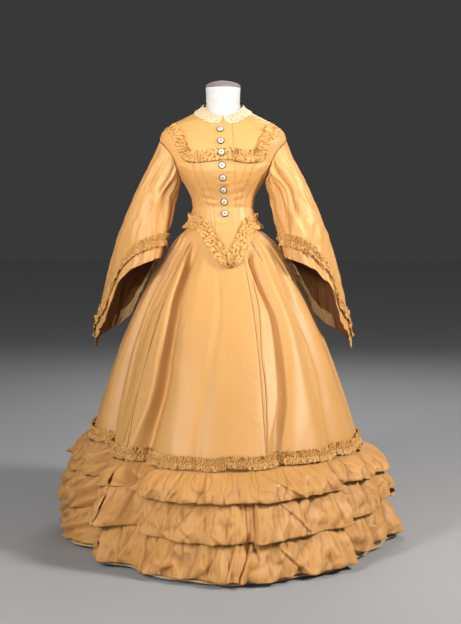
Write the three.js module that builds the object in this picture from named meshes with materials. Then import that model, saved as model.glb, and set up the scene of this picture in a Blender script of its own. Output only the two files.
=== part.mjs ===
// A two-piece silk wedding dress of the 1860s on a limbless dress form: a buttoned bodice with a
// pointed basque, wide hanging sleeves and a lace collar, over a full skirt with three flounces.
// Millimetres, +Z up, the wearer faces -Y, the origin is on the floor under the form's pole.
// "Right" and "left" in names are the wearer's own; the wearer's left is at +X.
import * as THREE from "three";
import { mergeVertices } from "three/addons/utils/BufferGeometryUtils.js";

// ---------------------------------------------------------------- driving sizes
const WAIST = { height: 1018, side: 95, front: 87, back: 73 }; // outer face of the bodice
const CLOTH = 2.0; // wall of the skirt, bodice and sleeves
const RIBBON = 1.4; // wall of the ruched trims, lace and frills
const SEAM_GAP = 0.3; // between pieces that are sewn to each other
const LIFT = 0.9; // between a panel and what lies on it
const SKIRT = { top: 1016, hem: 6, underBodice: 3.2, underBasque: 6.7 };
const ARMHOLE = { height: 1163, halfHeight: 60, halfTurn: 0.078 };
const FLOUNCES = [
  { name: "upper", top: 280, hem: 216, waves: 18, reach: 48 },
  { name: "middle", top: 228, hem: 116, waves: 18, reach: 54 },
  { name: "lower", top: 128, hem: 12, waves: 18, reach: 58 },
];
const SKIRT_TRIM = { height: 300, width: 36, waves: 36, crest: 8 };
const BASQUE_TRIM = { width: 37, inset: 3, waves: 20, crest: 7 };
const YOKE_TRIM = { width: 34, waves: 6, backWaves: 12, crest: 7, startRight: -26, startLeft: 29 };
const SLEEVE_TRIM = { aboveHem: 60, width: 28, waves: 10, crest: 6 };
const FRILL = { from: 168, to: 254, aboveHem: 15, width: 24, waves: 8, crest: 3.5 };
const COLLAR = { notch: 2.5 };
const BUTTONS = { count: 8, top: 1254, spacing: 36.3, radius: 10, height: 6.5, segments: 10 };
const BUTTON_LIFTS = [0.9, 0.9, 7.4, 0.4, 0.4, 0.7, 2.7, 0.4]; // the third lies on the yoke trim
const BUTTON_LINE = { top: -8, lean: 0.053 }; // x at the top button, and its drift per mm down
const LAP = 36; // from the button line to the edge of the front that laps over
const NECK = { radius: 54, top: 1386.5, capTop: 1409 };
const FORM = { bottom: 850, columns: 26 };
const STAND = { poleRadius: 16, baseRadius: 170, baseHeight: 14, hubRadius: 34, hubHeight: 46 };

const TURN = 2 * Math.PI;
const SILK = { color: 0xe6b97a, roughness: 0.45, metalness: 0 };
const RUCHE = { color: 0xdba05a, roughness: 0.55, metalness: 0 };
const LACE = { color: 0xe9dcb8, roughness: 0.8, metalness: 0 };
const COTTON = { color: 0xf6f2ee, roughness: 0.85, metalness: 0 };
const CAP_CLOTH = { color: 0xe6d3cb, roughness: 0.7, metalness: 0 };
const STEEL = { color: 0x3a3a3c, roughness: 0.4, metalness: 0.9 };
const PEARL = { color: 0xefe9da, roughness: 0.25, metalness: 0 };

// ---------------------------------------------------------------- tables of sections
const table = (columns, rows) =>
  rows.map((row) => Object.fromEntries(columns.map((column, i) => [column, row[i]])));

// Rings of the bodice's outer face, from the waist to the neck. squareness 2 is an ellipse.
const TORSO_RINGS = table(
  ["height", "side", "front", "back", "squareness"],
  [
    [WAIST.height, WAIST.side, WAIST.front, WAIST.back, 2.0],
    [1045, 99, 93, 78, 2.05],
    [1075, 112, 108, 86, 2.1],
    [1103, 131, 124, 93, 2.15],
    [1133, 153, 133, 99, 2.2],
    [1163, 169, 132, 103, 2.2],
    [1193, 183, 124, 105, 2.2],
    [1223, 196, 110, 103, 2.2],
    [1245, 191, 96, 98, 2.15],
    [1262, 175, 84, 92, 2.05],
    [1278, 151, 74, 84, 1.9],
    [1294, 120, 64, 76, 1.7],
    [1308, 92, 59, 67, 1.75],
    [1322, 70, 57, 61, 1.8],
    [1336, 60, 57, 58, 1.9],
    [1345, 58, 57, 57, 2.0],
  ],
);

// Rings of the skirt's outer face before its folds, from the hem to the waist. They come to a soft point
// in front and behind where the squareness is under 2.
const SKIRT_RINGS = table(
  ["height", "side", "front", "back", "squareness"],
  [
    [6, 490, 562, 640, 1.78],
    [150, 456, 508, 590, 1.78],
    [318, 413, 443, 530, 1.8],
    [470, 364, 370, 460, 1.86],
    [620, 308, 288, 375, 1.94],
    [740, 252, 212, 296, 2],
    [830, 203, 160, 228, 2],
    [890, 165, 131, 178, 2],
    [930, 136, 113, 138, 2],
    [962, 106, 99, 98, 2],
    [990, 95, 89, 76, 2],
    [
      WAIST.height,
      WAIST.side - SKIRT.underBodice,
      WAIST.front - SKIRT.underBodice,
      WAIST.back - SKIRT.underBodice,
      2,
    ],
  ],
);

// Lower edge of the bodice: a deep point in front, a little to the left, and a short one behind.
const BASQUE_EDGE = table(
  ["degrees", "height"],
  [
    [-180, 924], [-150, 938], [-120, 950], [-90, 955], [-60, 953], [-42, 948], [-30, 932], [-20, 908],
    [-12, 882], [-3, 852], [6, 838], [15, 850], [24, 882], [33, 914], [48, 944], [66, 953], [90, 955],
    [120, 950], [150, 938], [180, 924],
  ],
);

// Upper edge of the bodice round the neck.
const NECKLINE = table(
  ["degrees", "height", "collarDrop"],
  [
    [0, 1297, 25], [15, 1302, 24], [30, 1311, 22], [55, 1323, 19], [90, 1334, 17], [135, 1338, 22],
    [180, 1340, 26],
  ],
);

// The deep soft folds of the front half of the skirt. A turn of 0 is the centre front.
const FRONT_FOLDS = table(
  ["waistTurn", "hemTurn", "halfWidth", "hipDepth", "kneeDepth", "hemDepth"],
  [
    [-0.15, -0.146, 0.015, 12, 14, 6],
    [-0.085, -0.11, 0.015, 15, 46, 34],
    [0.008, -0.048, 0.012, 15, 14, 5],
    [0.09, 0.072, 0.015, 20, 42, 22],
    [0.152, 0.152, 0.016, 16, 24, 11],
  ],
);
const FOLD_HEIGHTS = { hip: 850, knee: 600, hem: 318 };
// Where the wearer's right side of the hem is drawn in: from nothing at one height to all at a lower one.
const DRAWN_IN = table(
  ["turn", "halfWidth", "depth", "from", "full"],
  [
    [-0.24, 0.045, 42, 120, 20],
    [-0.172, 0.032, 26, 330, 120],
  ],
);
const BACK_FOLDS = { from: 0.195, to: 0.805, count: 10, hip: 10, knee: 19, hem: 12 };

// Seams between the gores of the skirt, in columns from the centre front.
const COLUMNS = 72;
const GORES = [
  { name: "skirt_front", from: -9, to: 4 },
  { name: "skirt_side_left", from: 4, to: 20 },
  { name: "skirt_back_left", from: 20, to: 36 },
  { name: "skirt_back_right", from: 36, to: 50 },
  { name: "skirt_side_right", from: 50, to: 63 },
];
const SKIRT_ROWS = [6, 150, 318, 470, 610, 730, 820, 885, 935, 970, 998, 1016];

// Half of the yoke trim's centre line on the bodice, in front and behind: sideways and up.
const YOKE_PATH = table(
  ["side", "height"],
  [[9, 1179], [44, 1174], [82, 1171], [108, 1178], [124, 1203], [141, 1236], [160, 1263]],
);
const YOKE_BACK_PATH = table(
  ["side", "height"],
  [[0, 1172], [44, 1172], [84, 1174], [110, 1184], [128, 1208], [143, 1238], [160, 1263]],
);

// Sleeve sections, one sleeve at +X: reach of its outer and inner faces, its middle and half depth in y.
const SLEEVE_SECTIONS = table(
  ["height", "outer", "inner", "middle", "depth"],
  [
    [589, 397, 286, 16, 126],
    [640, 392, 268, 13, 124],
    [690, 385, 250, 12, 121],
    [740, 375, 243, 10, 118],
    [800, 361, 225, 8, 112],
    [861, 346, 202, 6, 104],
    [928, 329, 178, 4, 93],
    [976, 311, 161, 2, 84],
    [1020, 292, 152, 1, 78],
    [1067, 272, 143, 0, 72],
    [1100, 256, 139, -1, 67],
    [1150, 231, 152, -2, 60],
    [1193, 210, 168, -3, 50],
    [1223, 200, 188, -3, 30],
  ],
);

// Height of the sleeve's hem. 0 degrees is the outside of the arm, 90 the front, 180 the inside.
const SLEEVE_HEM = table(
  ["degrees", "height"],
  [
    [-25, 590], [-12, 622], [0, 650], [14, 660], [27, 674], [36, 722], [46, 770], [62, 806],
    [80, 828], [100, 847], [125, 859], [150, 864], [180, 856], [200, 800], [225, 748], [250, 712],
    [270, 672], [295, 645], [315, 622], [335, 590],
  ],
);
const SLEEVE_PIECES = [
  {
    name: "upper",
    degrees: [-120, -108, -97, -83, -66, -50, -37, -25, -13, 0, 15, 30, 45, 62, 80, 102, 126, 150],
  },
  { name: "under", degrees: [150, 164, 177, 190, 203, 216, 228, 240] },
];
const SLEEVE_LEAN = 16; // how far the front of the sleeve's mouth leans in towards the skirt
const SLEEVE_ROWS = [0, 0.05, 0.13, 0.24, 0.38, 0.54, 0.7, 0.85, 1];
const SLEEVE_HEAD = 0.3; // share of its length over which the sleeve leaves the armhole's own shape

// ---------------------------------------------------------------- curves
const lerp = (a, b, t) => a + (b - a) * t;
const smoothstep = (x) => {
  const t = THREE.MathUtils.clamp(x, 0, 1);
  return t * t * (3 - 2 * t);
};

// One column of a table at a place along its first column, on a smooth curve that never overshoots.
function read(rows, column, at) {
  const key = Object.keys(rows[0])[0];
  const last = rows.length - 1;
  const place = THREE.MathUtils.clamp(at, rows[0][key], rows[last][key]);
  let i = 0;
  while (i < last - 1 && place > rows[i + 1][key]) i += 1;
  const slope = (k) => (rows[k + 1][column] - rows[k][column]) / (rows[k + 1][key] - rows[k][key]);
  const tangent = (k) => {
    if (k === 0) return slope(0);
    if (k === last) return slope(last - 1);
    const [before, after] = [slope(k - 1), slope(k)];
    return before * after <= 0 ? 0 : (2 * before * after) / (before + after);
  };
  const span = rows[i + 1][key] - rows[i][key];
  const t = (place - rows[i][key]) / span;
  const [a, b] = [rows[i][column], rows[i + 1][column]];
  const [ta, tb] = [tangent(i) * span, tangent(i + 1) * span];
  return (
    a * (1 + 2 * t) * (1 - t) ** 2 + ta * t * (1 - t) ** 2 + b * t * t * (3 - 2 * t) + tb * t * t * (t - 1)
  );
}

const signedDegrees = (turn) => (turn - Math.round(turn)) * 360;
const basqueEdge = (turn) => read(BASQUE_EDGE, "height", signedDegrees(turn));
const neckline = (turn) => read(NECKLINE, "height", Math.abs(signedDegrees(turn)));
const collarDrop = (turn) => read(NECKLINE, "collarDrop", Math.abs(signedDegrees(turn)));

// A point on a ring whose front and back halves have their own depth.
function ringPoint(ring, turn, height) {
  const [s, c] = [Math.sin(turn * TURN), Math.cos(turn * TURN)];
  const power = 2 / ring.squareness;
  const bend = (v) => Math.sign(v) * Math.abs(v) ** power;
  return new THREE.Vector3(ring.side * bend(s), -(c > 0 ? ring.front : ring.back) * bend(c), height);
}

function ringAt(rows, height, grow = 0) {
  const size = (column) => read(rows, column, height) + grow;
  return {
    side: size("side"),
    front: size("front"),
    back: size("back"),
    squareness: read(rows, "squareness", height),
  };
}

// The direction straight out of the skirt's ring, level with the floor.
function ringOutward(ring, turn) {
  const depth = Math.cos(turn * TURN) > 0 ? ring.front : ring.back;
  return new THREE.Vector3(Math.sin(turn * TURN) / ring.side, -Math.cos(turn * TURN) / depth, 0).normalize();
}

// Depth of a fold at a height, from its depths at the hip, the knee and the flounces.
function foldDepth(height, hip, knee, hem) {
  if (height > FOLD_HEIGHTS.knee)
    return lerp(knee, hip, smoothstep((height - FOLD_HEIGHTS.knee) / (FOLD_HEIGHTS.hip - FOLD_HEIGHTS.knee)));
  return lerp(hem, knee, smoothstep((height - FOLD_HEIGHTS.hem) / (FOLD_HEIGHTS.knee - FOLD_HEIGHTS.hem)));
}

function folds(turn, height) {
  const free = smoothstep((basqueEdge(turn) - 4 - height) / 50); // flat under the basque
  const signed = turn - Math.round(turn);
  const down = 1 - height / SKIRT.top;
  let out = 0;
  for (const fold of FRONT_FOLDS) {
    const away = (signed - lerp(fold.waistTurn, fold.hemTurn, down)) / fold.halfWidth;
    out -= foldDepth(height, fold.hipDepth, fold.kneeDepth, fold.hemDepth) * Math.exp(-away * away);
  }
  for (const { turn: middle, halfWidth, depth, from, full } of DRAWN_IN) {
    const away = (signed - middle) / halfWidth;
    out -= depth * smoothstep((from - height) / (from - full)) * Math.exp(-away * away);
  }
  const round = turn - Math.floor(turn);
  const along = (round - BACK_FOLDS.from) / (BACK_FOLDS.to - BACK_FOLDS.from);
  if (along > 0 && along < 1) {
    const ends = smoothstep(along * 8) * smoothstep((1 - along) * 8);
    const depth = foldDepth(height, BACK_FOLDS.hip, BACK_FOLDS.knee, BACK_FOLDS.hem);
    out += (ends * depth * Math.cos(along * BACK_FOLDS.count * TURN + 0.8 * Math.sin(along * 9))) / 2;
  }
  return out * free;
}

function skirtPoint(turn, height) {
  const ring = ringAt(SKIRT_RINGS, height);
  return ringPoint(ring, turn, height).addScaledVector(ringOutward(ring, turn), folds(turn, height));
}

function bodicePoint(turn, height) {
  if (height >= WAIST.height) return ringPoint(ringAt(TORSO_RINGS, height), turn, height);
  const settle = smoothstep((WAIST.height - height) / 20);
  const over = lerp(SKIRT.underBodice, SKIRT.underBasque, settle);
  return ringPoint(ringAt(SKIRT_RINGS, height, over), turn, height);
}

// The turn at which a ring of the bodice is a given distance sideways.
function turnAtSide(side, height) {
  const ring =
    height >= WAIST.height ? ringAt(TORSO_RINGS, height) : ringAt(SKIRT_RINGS, height, SKIRT.underBasque);
  const share = THREE.MathUtils.clamp(Math.abs(side) / ring.side, 0, 1);
  return (Math.sign(side) * Math.asin(share ** (ring.squareness / 2))) / TURN;
}

// ---------------------------------------------------------------- surfaces and solids
// The outward normal of a surface of (turn, height), by small steps.
function normalOf(point, turn, height) {
  const [du, dv] = [0.0015, 0.7];
  const across = point(turn + du, height).sub(point(turn - du, height));
  const up = point(turn, height + dv).sub(point(turn, height - dv));
  return across.cross(up).normalize();
}

// A closed solid between two grids of points, outer[i][j] and inner[i][j]. A ring closes on itself in i.
function wall(outer, inner, closed = false) {
  const [columns, rows] = [outer.length, outer[0].length];
  const positions = [];
  const face = (...corners) => corners.forEach((p) => positions.push(p.x, p.y, p.z));
  const quad = (a, b, c, d) => {
    face(a, b, c);
    face(a, c, d);
  };
  const steps = closed ? columns : columns - 1;
  for (let i = 0; i < steps; i += 1) {
    const next = (i + 1) % columns;
    for (let j = 0; j < rows - 1; j += 1) {
      quad(outer[i][j], outer[next][j], outer[next][j + 1], outer[i][j + 1]);
      quad(inner[i][j], inner[i][j + 1], inner[next][j + 1], inner[next][j]);
    }
    quad(outer[i][0], inner[i][0], inner[next][0], outer[next][0]);
    const top = rows - 1;
    quad(outer[i][top], outer[next][top], inner[next][top], inner[i][top]);
  }
  if (!closed) {
    const end = columns - 1;
    for (let j = 0; j < rows - 1; j += 1) {
      quad(outer[0][j], outer[0][j + 1], inner[0][j + 1], inner[0][j]);
      quad(outer[end][j], inner[end][j], inner[end][j + 1], outer[end][j + 1]);
    }
  }
  return solid(positions);
}

function signedVolume(positions) {
  const [a, b, c] = [new THREE.Vector3(), new THREE.Vector3(), new THREE.Vector3()];
  let volume = 0;
  for (let i = 0; i < positions.length; i += 9) {
    a.fromArray(positions, i);
    b.fromArray(positions, i + 3);
    c.fromArray(positions, i + 6);
    volume += a.dot(b.cross(c)) / 6;
  }
  return volume;
}

// A geometry whose faces all point out, from a list of triangle corners.
function solid(positions) {
  if (signedVolume(positions) < 0)
    for (let i = 0; i < positions.length; i += 9) {
      const second = positions.slice(i + 3, i + 6);
      positions.splice(i + 3, 6, ...positions.slice(i + 6, i + 9), ...second);
    }
  const geometry = new THREE.BufferGeometry();
  geometry.setAttribute("position", new THREE.Float32BufferAttribute(positions, 3));
  const merged = mergeVertices(geometry, 1e-4);
  merged.computeVertexNormals();
  return merged;
}

const grid = (columns, rows, make) => columns.map((column) => rows.map((row) => make(column, row)));
const span = (from, to, steps) => Array.from({ length: steps + 1 }, (_, i) => lerp(from, to, i / steps));

const dress = new THREE.Group();
function add(name, geometry, look) {
  const mesh = new THREE.Mesh(geometry, new THREE.MeshStandardMaterial(look));
  mesh.name = name;
  dress.add(mesh);
  return mesh;
}

// ---------------------------------------------------------------- skirt
for (const gore of GORES) {
  const columns = span(gore.from, gore.to, gore.to - gore.from);
  const place = (column, height) => {
    const seam = column === gore.from ? 1 : column === gore.to ? -1 : 0;
    const radius = skirtPoint(column / COLUMNS, height).setZ(0).length();
    return column / COLUMNS + (seam * SEAM_GAP * 0.6) / (radius * TURN);
  };
  const point = (column, height, lift) => {
    const turn = place(column, height);
    return skirtPoint(turn, height).addScaledVector(ringOutward(ringAt(SKIRT_RINGS, height), turn), lift);
  };
  const outer = grid(columns, SKIRT_ROWS, (column, height) => point(column, height, 0));
  const inner = grid(columns, SKIRT_ROWS, (column, height) => point(column, height, -CLOTH));
  add(gore.name, wall(outer, inner), SILK);
}

// The skirt's own flat facets, so that what is sewn on it follows them exactly.
function skirtFacet(turn, height) {
  const i = Math.floor(turn * COLUMNS + 1e-6);
  let j = 0;
  while (j < SKIRT_ROWS.length - 2 && height >= SKIRT_ROWS[j + 1]) j += 1;
  const u = turn * COLUMNS - i;
  const v = (height - SKIRT_ROWS[j]) / (SKIRT_ROWS[j + 1] - SKIRT_ROWS[j]);
  const corner = (di, dj) => skirtPoint((i + di) / COLUMNS, SKIRT_ROWS[j + dj]);
  const diagonal = corner(1, 1);
  const other = u > v ? corner(1, 0) : corner(0, 1);
  const origin = corner(0, 0);
  const share = Math.min(u, v);
  return origin
    .multiplyScalar(1 - Math.max(u, v))
    .addScaledVector(other, Math.abs(u - v))
    .addScaledVector(diagonal, share);
}

const sewnOnSkirt = (turn, height, lift) =>
  skirtFacet(turn, height).addScaledVector(ringOutward(ringAt(SKIRT_RINGS, height), turn), lift);

// Each flounce is made of four widths of silk. Its waves leave the skirt towards its hem.
const WIDTHS = [
  { name: "front", from: -9 },
  { name: "left", from: 9 },
  { name: "back", from: 27 },
  { name: "right", from: 45 },
];
const WAVE_SHAPE = [0, 0.62, 1, 0.5]; // four columns to a wave, steeper on one side
function flounceLift(flounce, column, share) {
  const wave = Math.floor(column / WAVE_SHAPE.length);
  const uneven = 0.78 + 0.22 * Math.sin(wave * 2.4 + flounce.top);
  const shape = WAVE_SHAPE[column % WAVE_SHAPE.length] * uneven;
  const gathered = LIFT + 5 * shape;
  return gathered + flounce.reach * share ** 0.75 * (0.3 + 0.7 * shape);
}

for (const flounce of FLOUNCES) {
  const total = flounce.waves * WAVE_SHAPE.length;
  const perWidth = total / WIDTHS.length;
  WIDTHS.forEach((width, k) => {
    const columns = span(0, perWidth, perWidth);
    const place = (column, lift, share) => {
      const edge = column === 0 ? 1 : column === perWidth ? -1 : 0;
      const turn = (width.from + column) / total + edge * 0.00008;
      return sewnOnSkirt(turn, lerp(flounce.top, flounce.hem, share), lift);
    };
    const lift = (column, share) => flounceLift(flounce, (column + k * perWidth) % total, share);
    const shares = [1, 0.5, 0];
    const outer = grid(columns, shares, (c, s) => place(c, lift(c, s) + CLOTH, s));
    const inner = grid(columns, shares, (c, s) => place(c, lift(c, s), s));
    add(`flounce_${flounce.name}_${width.name}`, wall(outer, inner), SILK);
  });
}

// ---------------------------------------------------------------- ruched trims
// Heights of a ruched band over its panel: a flat row of gathers between two edges that ruffle in turn.
function rucheLift(column, across, crest) {
  const edge = Math.sign(across);
  if (edge === 0) return LIFT + 1.2;
  return LIFT + ((column + (edge > 0 ? 1 : 0)) % 2) * crest;
}

// A band on a surface of (turn, height) along path(share), made from the surface's points, moved out.
function band(surface, path, steps, trim, closed, liftOf = rucheLift, ribbon = RIBBON) {
  const columns = closed ? span(0, steps - 1, steps - 1) : span(0, steps, steps);
  const place = (column, across, lift) => {
    const share = column / steps;
    const [turn, height] = path(share);
    const here = surface(turn, height);
    const ahead = surface(...path(share + 0.004)).sub(surface(...path(share - 0.004)));
    const normal = normalOf(surface, turn, height);
    const sideways = normal.clone().cross(ahead).normalize();
    const perTurn = surface(turn + 0.001, height).sub(here).divideScalar(0.001);
    const perHeight = surface(turn, height + 1).sub(here);
    const move = sideways.multiplyScalar((across * trim.width) / 2);
    const [a, b, d] = [perTurn.dot(perTurn), perTurn.dot(perHeight), perHeight.dot(perHeight)];
    const [p, q] = [move.dot(perTurn), move.dot(perHeight)];
    const determinant = a * d - b * b;
    const turnTo = turn + (d * p - b * q) / determinant;
    const heightTo = height + (a * q - b * p) / determinant;
    return surface(turnTo, heightTo).addScaledVector(normalOf(surface, turnTo, heightTo), lift);
  };
  const rows = [-1, 0, 1];
  const outer = grid(columns, rows, (c, r) => place(c, r, liftOf(c, r, trim.crest) + ribbon));
  const inner = grid(columns, rows, (c, r) => place(c, r, liftOf(c, r, trim.crest)));
  return wall(outer, inner, closed);
}

function skirtTrim() {
  const steps = SKIRT_TRIM.waves * 2;
  const columns = span(0, steps - 1, steps - 1);
  const rows = [-1, 0, 1];
  const place = (column, row, lift) =>
    sewnOnSkirt(column / steps, SKIRT_TRIM.height + (row * SKIRT_TRIM.width) / 2, lift);
  const lift = (c, r) => rucheLift(c, r, SKIRT_TRIM.crest);
  const outer = grid(columns, rows, (c, r) => place(c, r, lift(c, r) + RIBBON));
  const inner = grid(columns, rows, (c, r) => place(c, r, lift(c, r)));
  return wall(outer, inner, true);
}
add("skirt_trim", skirtTrim(), RUCHE);

// The centre line of the basque's trim, whose lower edge keeps a small inset from the basque's own.
function basqueTrimPath(turn) {
  const height = basqueEdge(turn);
  const slope = (basqueEdge(turn + 0.004) - basqueEdge(turn - 0.004)) / 0.008;
  const radius = bodicePoint(turn, height).setZ(0).length() * TURN;
  const across = new THREE.Vector2(-slope / radius, 1).normalize();
  const up = BASQUE_TRIM.inset + BASQUE_TRIM.width / 2;
  return [turn + (across.x * up) / radius, height + across.y * up];
}
add("basque_trim", band(bodicePoint, basqueTrimPath, BASQUE_TRIM.waves * 2, BASQUE_TRIM, true), RUCHE);

// ---------------------------------------------------------------- bodice
const buttonSide = (height) => BUTTON_LINE.top + BUTTON_LINE.lean * (BUTTONS.top - height);
const lapTurn = (height) => turnAtSide(buttonSide(height) + LAP, height);
const backSeamTurn = (height) => lerp(0.082, 0.13, smoothstep((height - WAIST.height) / 240));

// Angle at which a panel stops at the armhole, or at the side and shoulder seams above and below it.
function sideTurn(height) {
  const away = (height - ARMHOLE.height) / ARMHOLE.halfHeight;
  return Math.abs(away) >= 1 ? 0.25 : 0.25 - ARMHOLE.halfTurn * Math.sqrt(1 - away * away);
}

const ARMHOLE_ROWS = [180, 150, 120, 90, 60, 30, 0].map(
  (degrees) => ARMHOLE.height + ARMHOLE.halfHeight * Math.cos((degrees * Math.PI) / 180),
);
const BODICE_LEVELS = [
  ...[0, 0.25, 0.5, 0.75].map((share) => (turn) => lerp(basqueEdge(turn), WAIST.height, share)),
  ...[WAIST.height, 1060, ...ARMHOLE_ROWS, 1245, 1262, 1278].map((height) => () => height),
  ...[0.3, 0.55, 0.75, 0.89, 1].map((share) => (turn) => lerp(1278, neckline(turn), share)),
];

// The direction in which the bodice's wall is thick: level at the waist and basque, square to it above.
function bodiceOutward(turn, height) {
  const ring = height >= WAIST.height ? ringAt(TORSO_RINGS, height) : ringAt(SKIRT_RINGS, height);
  const level = ringOutward(ring, turn);
  return level.lerp(normalOf(bodicePoint, turn, height), smoothstep((height - 1045) / 60)).normalize();
}

function bodicePanel(name, fromTurn, toTurn, columns) {
  const shares = span(0, 1, columns);
  const place = (share, level) => {
    const rough = level(lerp(fromTurn(WAIST.height), toTurn(WAIST.height), share));
    const turn = lerp(fromTurn(rough), toTurn(rough), share);
    const height = level(turn);
    const seam = share === 0 ? 1 : share === 1 ? -1 : 0;
    const radius = Math.max(40, bodicePoint(turn, height).setZ(0).length());
    return [turn + (seam * SEAM_GAP * 0.8) / (radius * TURN), height];
  };
  const outer = grid(shares, BODICE_LEVELS, (s, level) => bodicePoint(...place(s, level)));
  const inner = grid(shares, BODICE_LEVELS, (s, level) => {
    const [turn, height] = place(s, level);
    return bodicePoint(turn, height).addScaledVector(bodiceOutward(turn, height), -CLOTH);
  });
  add(name, wall(outer, inner), SILK);
}

bodicePanel("bodice_front_right", (h) => -sideTurn(h), lapTurn, 10);
bodicePanel("bodice_front_left", lapTurn, sideTurn, 7);
bodicePanel("bodice_side_left", (h) => 0.5 - sideTurn(h), (h) => 0.5 - backSeamTurn(h), 5);
bodicePanel("bodice_back", (h) => 0.5 - backSeamTurn(h), (h) => 0.5 + backSeamTurn(h), 8);
bodicePanel("bodice_side_right", (h) => 0.5 + backSeamTurn(h), (h) => 0.5 + sideTurn(h), 5);

// ---------------------------------------------------------------- yoke trims and collar
const pathTurn = (rows, share, mirror, back) => {
  const curve = new THREE.CatmullRomCurve3(rows.map((row) => new THREE.Vector3(row.side, row.height, 0)));
  const point = curve.getPoint(THREE.MathUtils.clamp(share, 0, 1));
  const turn = mirror * turnAtSide(point.x, point.y);
  return [back ? 0.5 - turn : turn, point.y];
};
for (const [name, mirror, start] of [["right", -1, YOKE_TRIM.startRight], ["left", 1, YOKE_TRIM.startLeft]]) {
  const rows = [{ side: start, height: YOKE_PATH[0].height }, ...YOKE_PATH.slice(1)];
  const path = (share) => pathTurn(rows, share, mirror, false);
  add(`yoke_trim_${name}`, band(bodicePoint, path, YOKE_TRIM.waves * 2, YOKE_TRIM, false), RUCHE);
}
const yokeBackPath = (share) =>
  share < 0.5
    ? pathTurn(YOKE_BACK_PATH, 1 - 2 * share, 1, true)
    : pathTurn(YOKE_BACK_PATH, 2 * share - 1, -1, true);
add("yoke_trim_back", band(bodicePoint, yokeBackPath, YOKE_TRIM.backWaves * 2, YOKE_TRIM, false), RUCHE);

function collar() {
  const turns = span(COLLAR.notch / 360, 1 - COLLAR.notch / 360, 30);
  const place = (turn, share, lift) => {
    const height = neckline(turn) - 2 - collarDrop(turn) * share;
    return bodicePoint(turn, height).addScaledVector(normalOf(bodicePoint, turn, height), lift);
  };
  const rows = [1, 0.72, 0.45, 0.2, 0];
  const outer = grid(turns, rows, (t, s) => place(t, s, LIFT + 0.5 + RIBBON));
  const inner = grid(turns, rows, (t, s) => place(t, s, LIFT + 0.5));
  return wall(outer, inner);
}
add("collar", collar(), LACE);

// ---------------------------------------------------------------- buttons
function buttonGeometry() {
  const { radius, height } = BUTTONS;
  const profile = [
    [0, 0], [radius * 0.8, 0], [radius, 1.6], [radius * 0.72, height * 0.62], [0, height],
  ].map(([r, y]) => new THREE.Vector2(r, y));
  const lathe = new THREE.LatheGeometry(profile, BUTTONS.segments);
  lathe.deleteAttribute("normal");
  lathe.deleteAttribute("uv");
  return solid(Array.from(mergeVertices(lathe, 1e-3).toNonIndexed().getAttribute("position").array));
}
for (let k = 0; k < BUTTONS.count; k += 1) {
  const height = BUTTONS.top - k * BUTTONS.spacing;
  const turn = turnAtSide(buttonSide(height), height);
  const normal = normalOf(bodicePoint, turn, height);
  const button = add(`button_${k + 1}`, buttonGeometry(), PEARL);
  button.quaternion.setFromUnitVectors(new THREE.Vector3(0, 1, 0), normal);
  button.position.copy(bodicePoint(turn, height)).addScaledVector(normal, BUTTON_LIFTS[k]);
}

// ---------------------------------------------------------------- sleeves
const sleeveHem = (degrees) => {
  const wrapped = ((((degrees + 25) % 360) + 360) % 360) - 25;
  return read(SLEEVE_HEM, "height", wrapped);
};

function sleeveSection(degrees, height) {
  const angle = (degrees * Math.PI) / 180;
  const size = (column) => read(SLEEVE_SECTIONS, column, height);
  const [outer, inner] = [size("outer"), size("inner")];
  const lean = SLEEVE_LEAN * smoothstep((1000 - height) / 150);
  return new THREE.Vector3(
    (outer + inner) / 2 + ((outer - inner) / 2) * Math.cos(angle) - lean * Math.sin(angle),
    size("middle") - size("depth") * Math.sin(angle),
    height,
  );
}

// The armhole as the sleeve sees it: 0 degrees at the top of the shoulder, 90 in front.
function armholePoint(degrees) {
  const angle = (degrees * Math.PI) / 180;
  const height = ARMHOLE.height + ARMHOLE.halfHeight * Math.cos(angle);
  const turn = 0.25 - ARMHOLE.halfTurn * Math.sin(angle);
  return bodicePoint(turn, height).addScaledVector(normalOf(bodicePoint, turn, height), CLOTH + 0.6);
}

// A point of the sleeve at +X: share 0 is at the armhole and 1 at the hem.
function sleevePoint(degrees, share) {
  const start = armholePoint(degrees);
  const height = lerp(start.z, sleeveHem(degrees), share);
  const body = sleeveSection(degrees, height);
  const offset = start.clone().sub(sleeveSection(degrees, start.z));
  return body.addScaledVector(offset, 1 - smoothstep(share / SLEEVE_HEAD));
}

const mirrored = (point, side) => new THREE.Vector3(point.x * side, point.y, point.z);
const sleeveNormal = (degrees, share) => {
  const [da, ds] = [1, 0.004];
  const across = sleevePoint(degrees + da, share).sub(sleevePoint(degrees - da, share));
  const along = sleevePoint(degrees, share + ds).sub(sleevePoint(degrees, share - ds));
  return across.cross(along).normalize();
};

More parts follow.
